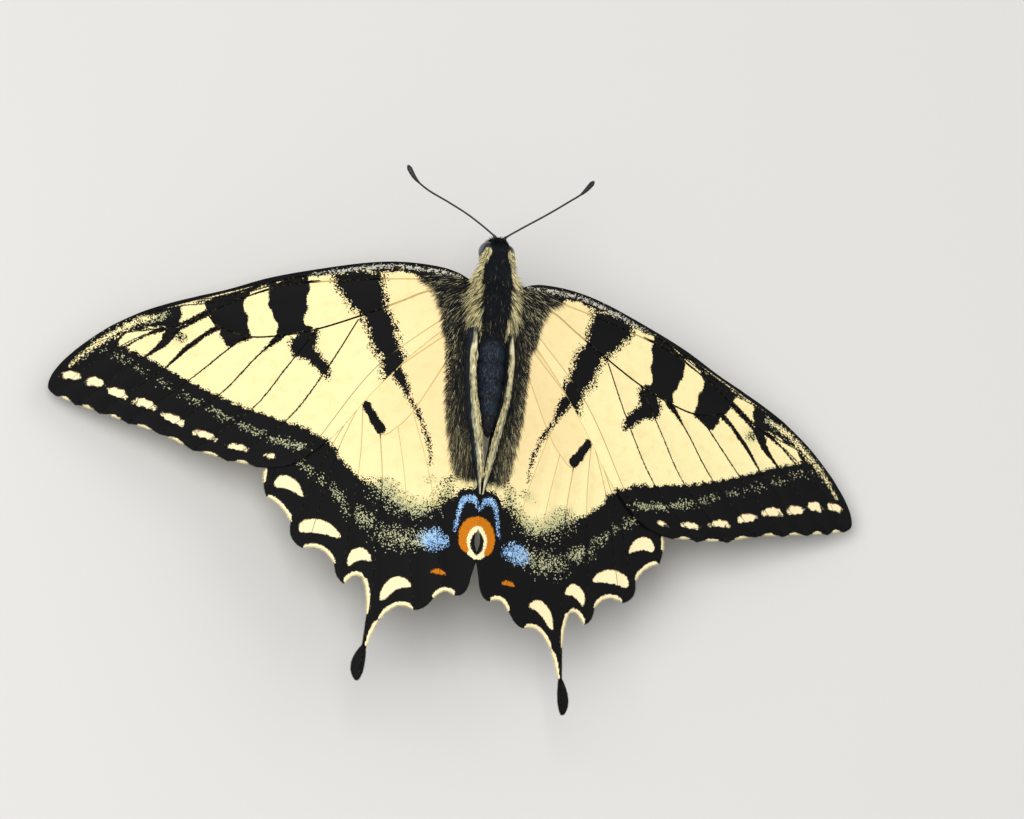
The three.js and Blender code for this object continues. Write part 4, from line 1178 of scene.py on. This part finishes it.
def bandHair(side, seed):
    band = [(2.6, -0.8), (4.4, -1.4), (4.2, -4), (3.98, -8), (3.8, -10), (3.55, -12), (3.1, -14.8),
            (2.75, -16.3), (2.1, -16.9), (1.0, -17.0), (0.75, -16.5), (0.9, -15), (1.5, -12), (1.9, -9),
            (2.2, -6), (2.4, -3)]
    edgeAt = lambda xy: np.interp(-xy[:, 1], [1, 4, 8, 10, 12, 15, 17, 18],
                                  [4.4, 4.2, 3.98, 3.8, 3.55, 3.1, 2.75, 2])

    def lieAt(xy, draw):
        nearEdge = smoothStep(1.1, 0.2, edgeAt(xy) - xy[:, 0])
        turn = nearEdge * np.interp(-xy[:, 1], [1, 6, 11, 17], [0.9, 0.75, 0.35, 0.1])
        return np.stack([np.sin(turn), -np.cos(turn)], -1)

    def toneAt(xy, draw):
        nearEdge = smoothStep(1.3, 0.2, edgeAt(xy) - xy[:, 0])
        low = smoothStep(-9, -14, xy[:, 1])
        outer = nearEdge + low * smoothStep(0.5, 1.1, xy[:, 0] - 0.6)
        grey = np.where(draw.random(len(xy)) < 0.24 + 0.26 * outer, draw.uniform(0.05, 0.34, len(xy)), 0.0)
        return np.where(draw.random(len(xy)) < 0.01 + 0.14 * outer, draw.uniform(0.4, 1.0, len(xy)), grey)

    def lengthAt(xy, draw):
        longer = 0.5 * (draw.random(len(xy)) < 0.3) * smoothStep(-12, -15, xy[:, 1])
        return 0.7 + 0.6 * smoothStep(-6, -12, xy[:, 1]) + longer

    return wingLocks(seed, "hindwing", wingHair["bandLocks"], band, lieAt, lengthAt, toneAt, 0.18, side)


def patchHair(side, seed):
    # The cream tuft that ends the band
    area = [(0.6, -17.5), (1.3, -17.4), (2.1, -17.5), (2.2, -18.1), (1.4, -18.3), (0.6, -18.2)]
    return wingLocks(seed, "hindwing", wingHair["tuftLocks"], area,
                     lambda xy, draw: np.tile([0.15, -1.0], (len(xy), 1)),
                     lambda xy, draw: 0.45 + 0 * xy[:, 0], lambda xy, draw: 0.95 + 0 * xy[:, 0], 0.15, side)


def baseHair(side, seed):
    area = [(2.7, 1.8), (5.5, 2.0), (6.9, 1.6), (5.6, 0.7), (5.0, -0.6), (4.7, -2), (4.4, -3.4), (3.2, -3.2),
            (2.6, -1)]

    def lieAt(xy, draw):
        turn = np.interp(xy[:, 1], [-3.4, 0, 2], [0.35, 0.8, 1.25])
        return np.stack([np.sin(turn), -np.cos(turn)], -1)

    def toneAt(xy, draw):
        pale = draw.random(len(xy)) < 0.12
        grey = np.where(draw.random(len(xy)) < 0.2, draw.uniform(0.05, 0.3, len(xy)), 0.0)
        return np.where(pale, draw.uniform(0.6, 1.1, len(xy)), grey)

    return wingLocks(seed, "forewing", wingHair["foreLocks"], area, lieAt,
                     lambda xy, draw: 1.0 + 0 * xy[:, 0], toneAt, 0.2, side)


for number, (sideName, side) in enumerate(sides.items()):
    shape = joined([bandHair(side, 20 + number), patchHair(side, 24 + number)])
    makePiece(f"hindwing_hair_{sideName}", shape, coatHair)
    makePiece(f"forewing_hair_{sideName}", baseHair(side, 22 + number), coatHair)

# The hindwings' inner margins, turned up along the abdomen

# Each row: v, foot outwards, crest (outwards, up), free edge (outwards, up), in the body's frame
foldRows = np.array([
    (-3.0, 2.3, 1.98, -0.1, 1.65, 0.1), (-4.0, 2.32, 2.02, 0.06, 1.55, 0.28),
    (-5.0, 2.32, 2.12, 0.12, 1.52, 0.33), (-6.0, 2.3, 2.18, 0.14, 1.6, 0.36),
    (-8.0, 2.22, 2.1, 0.2, 1.55, 0.5), (-9.6, 2.08, 1.99, 0.22, 1.37, 0.55),
    (-10.8, 1.92, 1.81, 0.18, 1.12, 0.54), (-12.5, 1.65, 1.56, 0.08, 0.76, 0.42),
    (-14.3, 1.26, 1.17, 0.05, 0.4, 0.28), (-16.6, 0.84, 0.73, 0.0, 0.12, 0.1),
    (-17.6, 0.6, 0.52, -0.22, 0.06, -0.16), (-18.4, 0.4, 0.35, -0.36, 0.06, -0.32),
    (-19.2, 0.24, 0.2, -0.44, 0.06, -0.42)])
foldLine = smoothLine(foldRows, 10)[::-1]
foldShape = {"thickness": 0.07, "lip": 0.45, "tuck": 0.26, "across": 20, "locks": 1300}


def foldAt(v, s):
    # Bezier arch through foot, crest and free edge: (1-s)^2 foot + 2s(1-s) pull + s^2 edge,
    # pull = 2 crest - (foot + edge) / 2, so that s = 1/2 is the crest
    footOut, crestOut, crestUp, edgeOut, edgeUp = (
        np.interp(v, foldLine[:, 0], column) for column in foldLine[:, 1:].T)
    footUp = (hindwing["lift"] + 0.02) / math.cos(pose["wingDroop"]) - footOut * math.tan(pose["wingDroop"])
    out = (1 - s) ** 2 * footOut + 2 * s * (1 - s) * (2 * crestOut - (footOut + edgeOut) / 2) + s**2 * edgeOut
    up = (1 - s) ** 2 * footUp + 2 * s * (1 - s) * (2 * crestUp - (footUp + edgeUp) / 2) + s**2 * edgeUp
    return out, up


def foldTone(v, s):
    # Cream in front; towards the rear grey-green with a cream edge; the wall below the crest is dark
    cream = np.clip(smoothStep(-9.0, -6.5, v) + smoothStep(0.66, 0.8, s), 0, 1)
    dark = smoothStep(0.64, 0.44, s) + smoothStep(0.86, 0.97, s) + 0.6 * smoothStep(-5.4, -3.2, v)
    return cream, np.clip(dark, 0, 1)


def foldPiece(sideName, material):
    # Two skins half a thickness either side of the arch, joined round the edges, with a lip turned down
    side = sides[sideName]
    s, v = np.meshgrid(np.linspace(0, 1, foldShape["across"]), foldLine[::-1, 0])
    out, up = foldAt(v, s)
    along, rise = np.gradient(out, axis=1), np.gradient(up, axis=1)
    long = np.hypot(along, rise) + 1e-9
    normal = np.stack([rise / long, -along / long], -1)
    half = foldShape["thickness"] / 2 * (0.4 + 0.6 * smoothStep(0, 0.15, 1 - s))
    turned = smoothStep(0.88, 1.0, s) ** 2
    out, up = out - foldShape["tuck"] * turned * smoothStep(-13.5, -11.5, v), up - foldShape["lip"] * turned
    skins = [np.stack([side * (out + k * half * normal[..., 0]), v, up + k * half * normal[..., 1]], -1)
             for k in (1, -1)]
    rings = np.concatenate([skins[0], skins[1][:, ::-1]], 1)
    cream, dark = foldTone(v, s)
    values = {key: np.concatenate([share, share[:, ::-1]], 1)
              for key, share in (("tone", cream), ("dark", dark), ("lip", smoothStep(0.8, 0.88, s)))}
    return makePiece(f"hindwing_fold_skin_{sideName}", overRings(inFrame(rings), values),
                     material, [f"hindwing_fold_{sideName}"])


def foldMaterial():
    material, tree, shader = newMaterial("fold membrane")
    put, math2, blend, value = tools(tree)
    place = put("TexCoord").outputs["Object"]
    streak = put("TexNoise", {"Vector": put("Mapping", {"Vector": place, "Scale": (1, 0.15, 1)}).outputs[0],
                              "Scale": 5200.0, "Detail": 2.0}).outputs[0]
    patch = put("TexNoise", {"Vector": place, "Scale": 1600.0, "Detail": 2.0}).outputs[0]
    fleck = math2("MULTIPLY", math2("SUBTRACT", math2("ADD", streak, patch), 0.72), 1.5, clamp=True)
    grey = blend(fleck, paint("95967A"), paint("3E4236"))
    cream = blend(math2("MULTIPLY", fleck, 0.8), paint("E6DBB0"), paint("6B6142"))
    ragged = math2("MULTIPLY", math2("SUBTRACT", streak, 0.5), 1.4)
    edge = math2("MULTIPLY", math2("SUBTRACT", math2("ADD", value("dark"), ragged), 0.2), 1.7, clamp=True)
    dark = blend(value("lip"), paint("1A1F27"), paint("0E1013"))
    colour = blend(edge, blend(value("tone"), grey, cream), dark)
    tree.links.new(colour, shader.inputs["Base Color"])
    shader.inputs["Roughness"].default_value = 0.6
    shader.inputs["Specular IOR Level"].default_value = 0.2
    return material


def foldHair(side, seed):
    # Hairs lying rearwards along the fold, mostly cream near its free edge, dark on the wall
    draw = np.random.default_rng(seed)
    n = foldShape["locks"]
    v = draw.uniform(-17.3, -5.2, n)
    s = np.where((v < -10) & (draw.random(n) < 0.6), draw.uniform(0.86, 1.0, n), draw.uniform(0.12, 1.0, n))
    out, up = foldAt(v, s)
    mixed = np.where(draw.random(n) < 0.35, draw.uniform(0, 0.4, n), draw.uniform(0.7, 1.1, n))
    tone = np.where(s < 0.56, 0.0, mixed)
    lie = np.stack([-side * (0.1 + 0.12 * draw.normal(0, 1, n)), -np.ones(n),
                    0.04 + 0.08 * draw.normal(0, 1, n)], -1)
    return tufts(inFrame(np.stack([side * out, v, up + 0.03], -1)), unit(lie), np.tile([0.0, 0, 1], (n, 1)),
                 draw.uniform(0.4, 0.8, n) * mm, draw.uniform(0.015, 0.03, n) * mm,
                 np.stack([s * 0.3 + 0.35, (v + 18) / 15], -1),
                 {"tone": np.clip(tone, 0, 1), "blue": np.zeros(n)}, curl=-0.06, flat=0.7)


foldMembrane = foldMaterial()
for number, (sideName, side) in enumerate(sides.items()):
    foldPiece(sideName, foldMembrane)
    makePiece(f"fold_hair_{sideName}", foldHair(side, 30 + number), coatHair)

# Head: eyes, feelers, palps, tongue

# pale is the colour of the eyes' painted sheen
eye = {"size": (0.86, 0.95, 1.05), "out": 0.88, "forward": 4.95, "up": -0.85, "facets": 21000,
       "rimHairs": 380, "dark": "12141D", "pale": "56617B"}


def eyeMaterial():
    # Dark below, with a painted blue-grey sheen on the upper outer side, under a clear coat with fine facets
    material, tree, shader = newMaterial("compound eye")
    put, math2, blend, value = tools(tree)
    place = put("TexCoord").outputs["Object"]
    facets = put("TexVoronoi", {"Vector": place, "Scale": float(eye["facets"]), "Randomness": 0.25})
    mottle = put("TexNoise", {"Vector": place, "Scale": 1500.0, "Detail": 2.0}).outputs[0]
    # Painted sheen, broken up by mottle
    share = math2("MULTIPLY", value("sheen"), math2("ADD", 0.55, math2("MULTIPLY", mottle, 0.7)))
    tree.links.new(blend(share, paint(eye["dark"]), paint(eye["pale"])), shader.inputs["Base Color"])
    bump = put("Bump", {"Strength": 0.35, "Distance": 0.00002,
                        "Height": math2("SUBTRACT", 1.0, facets.outputs["Distance"])})
    tree.links.new(bump.outputs[0], shader.inputs["Normal"])
    shader.inputs["Roughness"].default_value = 0.28
    shader.inputs["Coat Weight"].default_value = 0.5
    shader.inputs["Coat Roughness"].default_value = 0.12
    return material


def eyePiece(sideName, material):
    # Ellipsoid (a sin p cos q, b cos p, c sin p sin q) about its centre
    side = sides[sideName]
    p, q = np.meshgrid(np.linspace(0, math.pi, 62)[1:-1], np.arange(80) / 80 * tau, indexing="ij")
    a, b, c = eye["size"]
    local = np.stack([a * np.sin(p) * np.cos(q), b * np.cos(p), c * np.sin(p) * np.sin(q)], -1)
    outward = local / np.array([a, b, c])
    # Painted sheen: blue-grey towards the eye's outer side, standing in for light caught along its rim
    towards = unit(np.array([side * 0.95, 0.3, 0.0]))
    sheen = smoothStep(0.55, 1.0, outward @ towards) * 0.75
    rings = local + [side * eye["out"], eye["forward"], eye["up"]]
    makePiece(f"eye_ball_{sideName}", overRings(inFrame(rings), {"sheen": sheen}), material,
              [f"eye_{sideName}"])


def eyeRim(side, seed):
    # Short cream hairs ring the back of each eye
    draw = np.random.default_rng(seed)
    n = eye["rimHairs"]
    turn = draw.uniform(0, tau, n)
    a, b, c = eye["size"]
    back = draw.uniform(-0.92, -0.6, n)
    ring = np.sqrt(1 - back**2)
    root = np.stack([side * (eye["out"] + a * ring * np.cos(turn)), eye["forward"] + b * back,
                     eye["up"] + c * ring * np.sin(turn)], -1)
    out = unit(np.stack([side * np.cos(turn), 0.05 + 0 * turn, np.sin(turn)], -1))
    lie = unit(out * 0.8 + np.array([0, -0.55, 0]) + 0.15 * draw.normal(0, 1, (n, 3)))
    return tufts(inFrame(root), lie, out, draw.uniform(0.16, 0.3, n) * mm, draw.uniform(0.02, 0.03, n) * mm,
                 np.stack([turn / tau * 0.98, 0.9 + 0.02 * back], -1),
                 {"tone": draw.uniform(0.6, 1, n), "blue": np.zeros(n)})


feelers = {
    "left": [(0.5, 6.1, -0.3), (0.66, 6.45, -0.2), (2.98, 7.8, -0.05), (5.2, 8.72, 0.15), (7.4, 9.5, 0.38),
             (8.77, 10.35, 0.5), (9.7, 11.55, 0.65)],
    "right": [(0.5, 6.1, -0.3), (0.66, 6.45, -0.2), (2.15, 7.6, -0.05), (4.45, 9.3, 0.15), (6.35, 10.8, 0.38),
              (7.6, 11.85, 0.5), (8.62, 13.2, 0.65)],
    "radius": 0.085, "clubStart": 0.82, "clubRadius": 0.23, "joints": 36}


def hornMaterial():
    material, tree, shader = newMaterial("feeler horn")
    put, math2, blend, value = tools(tree)
    speckle = put("TexNoise", {"Vector": put("TexCoord").outputs["Object"], "Scale": 5000.0}).outputs[0]
    tone = math2("MULTIPLY", value("tone"), math2("ADD", 0.6, speckle))
    tree.links.new(blend(tone, paint("0E0D0D"), paint("6B6A55")), shader.inputs["Base Color"])
    shader.inputs["Roughness"].default_value = 0.45
    return material


def feelerPiece(sideName, material):
    # Radius: thin shaft with a swollen base, joints as ripples, then a club swelling as sin
    line = smoothLine(feelers[sideName], 40) * [sides[sideName], 1, 1]
    t = np.append(0, np.cumsum(np.linalg.norm(np.diff(line, axis=0), axis=1)))
    t /= t[-1]
    club = np.clip((t - feelers["clubStart"]) / (1 - feelers["clubStart"]), 0, 1)
    radius = feelers["radius"] * (1 + 0.8 * smoothStep(0.05, 0.02, t))
    radius = radius + (feelers["clubRadius"] - feelers["radius"]) * np.sin(club**0.9 * math.pi * 0.62)
    ripple = 1 + 0.07 * np.abs(np.sin(t * feelers["joints"] * math.pi))
    radius = radius * ripple * np.sqrt(np.clip((1 - t) / 0.03, 0.02, 1))
    tone = smoothStep(0.04, 0.1, t) * smoothStep(0.85, 0.7, t) * (0.04 + 0.12 * (ripple < 1.02))
    shape = tube(inFrame(line), radius * mm, 14, {"tone": tone})
    makePiece(f"feeler_{sideName}", shape, material, [f"antenna_{sideName}"])


tongue = {"centre": (5.75, -3.75), "outer": 1.1, "inner": 0.35, "turns": 1.6, "radius": 0.15, "ridges": 90}


def tonguePiece(material):
    # Spiral: centre + r (cos a, sin a), r from outer to inner over the turns
    t = np.linspace(0, 1, 260)
    angle = math.pi / 2 + t * tongue["turns"] * tau
    r = tongue["outer"] + (tongue["inner"] - tongue["outer"]) * t
    forward, up = tongue["centre"]
    line = np.stack([0 * t, forward + r * np.cos(angle), up + r * np.sin(angle)], -1)
    radius = tongue["radius"] * (1 - 0.45 * t) * (1 + 0.05 * np.sin(t * tongue["ridges"] * tau))
    shape = tube(inFrame(line), radius * mm, 14, {"tone": 0.3 + 0 * t})
    makePiece("tongue", shape, material, ["proboscis"])


palp = {"line": [(0.5, 4.9, -2.2), (0.48, 5.6, -2.6), (0.46, 6.0, -2.4), (0.44, 6.25, -1.85)], "radius": 0.24,
        "locks": 520}


def palpPiece(sideName, material, seed):
    side = sides[sideName]
    line = smoothLine(palp["line"], 14) * [side, 1, 1]
    t = np.linspace(0, 1, len(line))
    radius = palp["radius"] * (0.7 + 0.3 * np.sin(t * math.pi)) * np.sqrt(np.clip((1 - t) / 0.12, 0.02, 1))
    shape = tube(inFrame(line), radius * mm, 16, {"tone": 0.85 + 0 * t, "blue": 0 * t, "along": 0.8 + 0 * t})
    shape.pop("cornerUv")
    shape["uv"] = np.tile([0.5, 0.98], (len(shape["points"]), 1))
    draw = np.random.default_rng(seed)
    n = palp["locks"]
    place = draw.uniform(0, 0.97, n)
    at = pickAlong(place, t, line)
    forward = unit(pickAlong(place, t, np.gradient(line, axis=0)))
    out = unit(np.cross(forward, draw.normal(0, 1, (n, 3))))
    reach = np.interp(place, t, radius)
    lie = unit(forward + out * 0.55)
    above = out @ np.array([0, 0.4, 0.9]) > 0.45
    tone = np.where(above, draw.uniform(0, 0.15, n), draw.uniform(0.75, 1, n))
    hair = tufts(inFrame(at + out * reach[:, None] * 0.9), lie, out, draw.uniform(0.25, 0.5, n) * mm,
                 draw.uniform(0.02, 0.035, n) * mm, np.stack([place * 0.9 + 0.05, 0.95 + 0 * place], -1),
                 {"tone": tone, "blue": np.zeros(n)})
    makePiece(f"palp_coat_{sideName}", joined([shape, hair]), material, [f"palp_{sideName}"])


compoundEye = eyeMaterial()
horn = hornMaterial()
for number, (sideName, side) in enumerate(sides.items()):
    eyePiece(sideName, compoundEye)
    makePiece(f"eye_rim_{sideName}", eyeRim(side, 40 + number), coatHair)
    feelerPiece(sideName, horn)
    palpPiece(sideName, coatHair, 44 + number)
tonguePiece(horn)

# Legs: coxa and femur, spurred tibia, five-jointed tarsus with claws

legRows = {  # (outwards, forwards, above the floor) of hip, knee, ankle and claw
    "foreleg": [(0.8, 1.6, 8.25), (4.1, 3.9, 7.2), (5.3, 4.1, 0.9), (8.9, 5.6, 0.13)],
    "midleg": [(1.2, 0.2, 7.75), (6.6, 1.4, 6.9), (8.3, 1.0, 0.9), (13.6, -0.8, 0.13)],
    "hindleg": [(1.1, -1.6, 7.9), (4.9, -6.2, 6.9), (6.3, -10.4, 0.9), (7.8, -16.6, 0.13)]}
legSizes = {"femur": 0.3, "knee": 0.2, "ankle": 0.15, "tarsus": 0.12, "joints": 5}
legHairs = {"femur": (420, 0.45), "tibia": (160, 0.3), "tarsus": (120, 0.16)}  # (how many, length)


def legMaterial():
    # Black above, yellowish along the underside of the femur and tibia
    material, tree, shader = newMaterial("leg")
    put, math2, blend, value = tools(tree)
    speckle = put("TexNoise", {"Vector": put("TexCoord").outputs["Object"], "Scale": 4000.0}).outputs[0]
    tone = math2("MULTIPLY", value("tone"), math2("ADD", 0.6, speckle))
    tree.links.new(blend(tone, paint("141213"), paint("CDBB84")), shader.inputs["Base Color"])
    shader.inputs["Roughness"].default_value = 0.5
    return material


def legPiece(legName, sideName, material, seed):
    # Tubes along hip, coxa and knee, along the tibia and along the tarsus, with hairs, claws and spurs
    side = sides[sideName]
    draw = np.random.default_rng(seed)
    lift = [0, 0, pose["standHeight"]]
    hip, knee, ankle, claw = (np.array(p) * [side, 1, 1] - lift for p in legRows[legName])
    coxa = hip + [side * 0.35, 0, -1.0]
    reach = ankle + (claw - ankle) * 0.42
    reach[2] = claw[2]
    parts, spines = [], []

    def addPart(points, radius, around, tone):
        none = 0 * points[:, 0]
        part = tube(inFrame(points), radius * mm, around, {"tone": tone + none, "along": none})
        part.pop("cornerUv")
        parts.append(part)
        return part

    def segment(points, radiusAt, tone, hairs):
        count, hairLength = hairs
        around = 12
        line = smoothLine(points, 14)
        t = np.linspace(0, 1, len(line))
        radius = radiusAt(t) * np.sqrt(np.clip(np.minimum(t, 1 - t) / 0.03, 0.06, 1))
        part = addPart(line, radius, around, tone)
        # Yellowish only below the middle line
        middle = np.append(np.repeat(inFrame(line)[:, 2], around), [0, 0])
        onSide = np.arange(len(middle)) < around * len(line)
        low = smoothStep(0.1, 0.8, (middle - part["points"][:, 2]) / (0.2 * mm)) * onSide
        part["values"]["tone"] = tone * low
        place = draw.uniform(0.05, 0.95, count)
        forward = unit(pickAlong(place, t, np.gradient(line, axis=0)))
        out = unit(np.cross(forward, draw.normal(0, 1, (count, 3))))
        root = pickAlong(place, t, line) + out * np.interp(place, t, radius)[:, None] * 0.85
        # Nothing sticks down through the floor
        lie = unit(forward + out * 0.6)
        lie[:, 2] = np.where(root[:, 2] + pose["standHeight"] < 0.5, np.abs(lie[:, 2]), lie[:, 2])
        hair = tufts(inFrame(root), unit(lie), out, draw.uniform(0.6, 1, count) * hairLength * mm,
                     draw.uniform(0.012, 0.025, count) * mm, np.zeros((count, 2)),
                     {"tone": tone * draw.uniform(0, 0.8, count)})
        hair.pop("uv")
        spines.append(hair)

    segment([hip, coxa, coxa + (knee - coxa) * 0.3, coxa + (knee - coxa) * 0.7, knee],
            lambda t: legSizes["femur"] + (legSizes["knee"] - legSizes["femur"]) * t, 0.9, legHairs["femur"])
    kneeBelow = legSizes["knee"] * 0.85
    segment([knee, knee + (ankle - knee) * 0.4, ankle],
            lambda t: kneeBelow + (legSizes["ankle"] - kneeBelow) * t, 0.8, legHairs["tibia"])
    bead = lambda t: np.abs(np.sin(t * legSizes["joints"] * math.pi))
    segment([ankle, ankle + (reach - ankle) * 0.5 + [0, 0, -0.12], reach, reach + (claw - reach) * 0.5, claw],
            lambda t: legSizes["tarsus"] * (0.82 + 0.2 * bead(t) ** 0.6), 0.25, legHairs["tarsus"])
    ahead = unit((claw - reach) * [1, 1, 0])
    sideways = np.array([-ahead[1], ahead[0], 0])
    for turn in (-1, 1):
        hook = [claw - ahead * 0.05, claw + ahead * 0.14 + sideways * turn * 0.07 + [0, 0, 0.05],
                claw + ahead * 0.26 + sideways * turn * 0.1 + [0, 0, -0.02],
                claw + ahead * 0.3 + sideways * turn * 0.1 + [0, 0, -0.1]]
        spur = [ankle + [0, 0, 0.25], ankle + (reach - ankle) * 0.14 + sideways * turn * 0.2]
        for points, perSpan, tip in ((hook, 5, 0.008), (spur, 6, 0.01)):
            line = smoothLine(points, perSpan)
            addPart(line, np.linspace(0.04, tip, len(line)), 8, 0.1)
    shape = joined(parts + spines)
    shape["points"][:, 2] = np.maximum(shape["points"][:, 2], 0)
    makePiece(f"{legName}_{sideName}", shape, material,
              [f"{legName}_{part}_{sideName}" for part in ("femur", "tibia", "tarsus")])


legHorn = legMaterial()
for row, legName in enumerate(legRows):
    for number, sideName in enumerate(sides):
        legPiece(legName, sideName, legHorn, 50 + 2 * row + number)

# Fringe of long scales along the margins

fringeScales = {"every": 0.028, "setBack": 0.12, "length": 0.2, "paleLonger": 0.12, "width": (0.03, 0.05)}


def fringe(kind, side, seed):
    # Rooted just inside the margin, leaning out of it; cream in the bays and black at the teeth
    draw = np.random.default_rng(seed)
    line, cream = marginTone(kind)
    gap = np.linalg.norm(np.diff(line, axis=0), axis=1)
    reach = np.append(0, np.cumsum(gap))
    n = int(reach[-1] / fringeScales["every"])
    place = np.linspace(0, reach[-1], n)
    xy = pickAlong(place, reach, line)
    ahead = unit(pickAlong(place, reach, np.gradient(line, axis=0)))
    out = np.stack([-ahead[:, 1], ahead[:, 0]], -1)
    out = -out if np.mean(outlineDistance(xy + 0.1 * out, outlines[kind])[0]) < 0 else out
    tone = np.interp(place, reach, cream)
    lie = np.column_stack([out + 0.25 * draw.normal(0, 1, (n, 2)), 0.12 * draw.normal(0, 1, n)])
    flat, _ = wingPatch(kind, xy)
    up = lieOnWing(np.tile([0.0, 0.0, 1.0], (n, 1)), side)
    tone = np.where(draw.random(n) < tone, draw.uniform(0.85, 1, n), draw.uniform(0, 0.1, n))
    long = (fringeScales["length"] + fringeScales["paleLonger"] * tone) * draw.uniform(0.8, 1.2, n)
    root = onWing(*(xy - fringeScales["setBack"] * out).T, wingHeight(kind, xy), side)
    width = draw.uniform(*fringeScales["width"], n) * mm
    return tufts(root, lieOnWing(unit(lie), side), up, long * mm, width, flat,
                 {"tone": tone, "blue": np.zeros(n)}, flat=0.3)


for number, (sideName, side) in enumerate(sides.items()):
    makePiece(f"forewing_fringe_{sideName}", fringe("forewing", side, 60 + number), coatHair)
    makePiece(f"hindwing_fringe_{sideName}", fringe("hindwing", side, 62 + number), coatHair)

# Floor, light and camera

studio = {
    "floorReach": 3.0, "floorColour": "D0CECA", "worldColour": (0.95, 0.97, 1.0, 1), "worldStrength": 0.47,
    # area lamps: (power, place, size)
    "lamps": {"key": (4.4, (-0.32, -0.1, 0.6), 0.5), "fill": (1.5, (0.5, 0.35, 0.5), 0.7)}}


def makeStudio():
    mesh = bpy.data.meshes.new("floor")
    reach = studio["floorReach"]
    corners = [(-reach, -reach, 0), (reach, -reach, 0), (reach, reach, 0), (-reach, reach, 0)]
    mesh.from_pydata(corners, [], [(0, 1, 2, 3)])
    floor = bpy.data.objects.new("floor", mesh)
    bpy.context.scene.collection.objects.link(floor)
    material, tree, shader = newMaterial("pale floor")
    put, math2, blend, _ = tools(tree)
    mottle = put("TexNoise", {"Vector": put("TexCoord").outputs["Object"], "Scale": 30.0, "Detail": 3.0})
    colour = blend(math2("MULTIPLY", mottle.outputs[0], 0.06), paint(studio["floorColour"]), paint("D6D4CE"))
    tree.links.new(colour, shader.inputs["Base Color"])
    shader.inputs["Roughness"].default_value = 0.9
    mesh.materials.append(material)
    for name, (power, place, size) in studio["lamps"].items():
        lamp = bpy.data.lights.new(name, "AREA")
        lamp.energy = power
        lamp.size = size
        light = bpy.data.objects.new(name, lamp)
        bpy.context.scene.collection.objects.link(light)
        light.location = place
        light.rotation_euler = Matrix(axes(place)).transposed().to_euler()
        light.visible_camera = False
    world = bpy.data.worlds.new("studio")
    bpy.context.scene.world = world
    world.use_nodes = True
    background = world.node_tree.nodes["Background"]
    background.inputs[0].default_value = studio["worldColour"]
    background.inputs[1].default_value = studio["worldStrength"]


def axes(back):
    # Right, up and back rows of something at `back` that looks at the origin
    back = unit(np.asarray(back, float))
    right = unit(np.cross((0, 0, 1), back))
    return [tuple(right), tuple(np.cross(back, right)), tuple(back)]


# The camera sees the insect from behind, above and a little to its left
view = {"turn": -3.9, "tip": -20.0, "roll": 17.0, "lens": 800.0, "sensor": 36.0, "frameWidth": 95.64,
        "target": (3.1, -9.5, -2.66)}


def makeCamera():
    # Rows right, up, back = Rz(turn) Rx(tip) Ry(roll); distance = lens frameWidth / sensor
    turn, tip, roll = (Matrix.Rotation(math.radians(view[key]), 3, axis)
                       for key, axis in (("turn", "Z"), ("tip", "X"), ("roll", "Y")))
    rows = turn @ tip @ roll
    data = bpy.data.cameras.new("camera")
    data.lens = view["lens"]
    data.sensor_width = view["sensor"]
    distance = view["lens"] * view["frameWidth"] / view["sensor"] * mm
    data.clip_start, data.clip_end = 0.05, 20
    camera = bpy.data.objects.new("camera", data)
    bpy.context.scene.collection.objects.link(camera)
    camera.matrix_world = rows.transposed().to_4x4()
    camera.location = inFrame(view["target"]) + distance * np.array(rows[2])
    bpy.context.scene.camera = camera


makeStudio()
makeCamera()
bpy.context.scene.view_settings.view_transform = "Standard"
print("studio and camera")
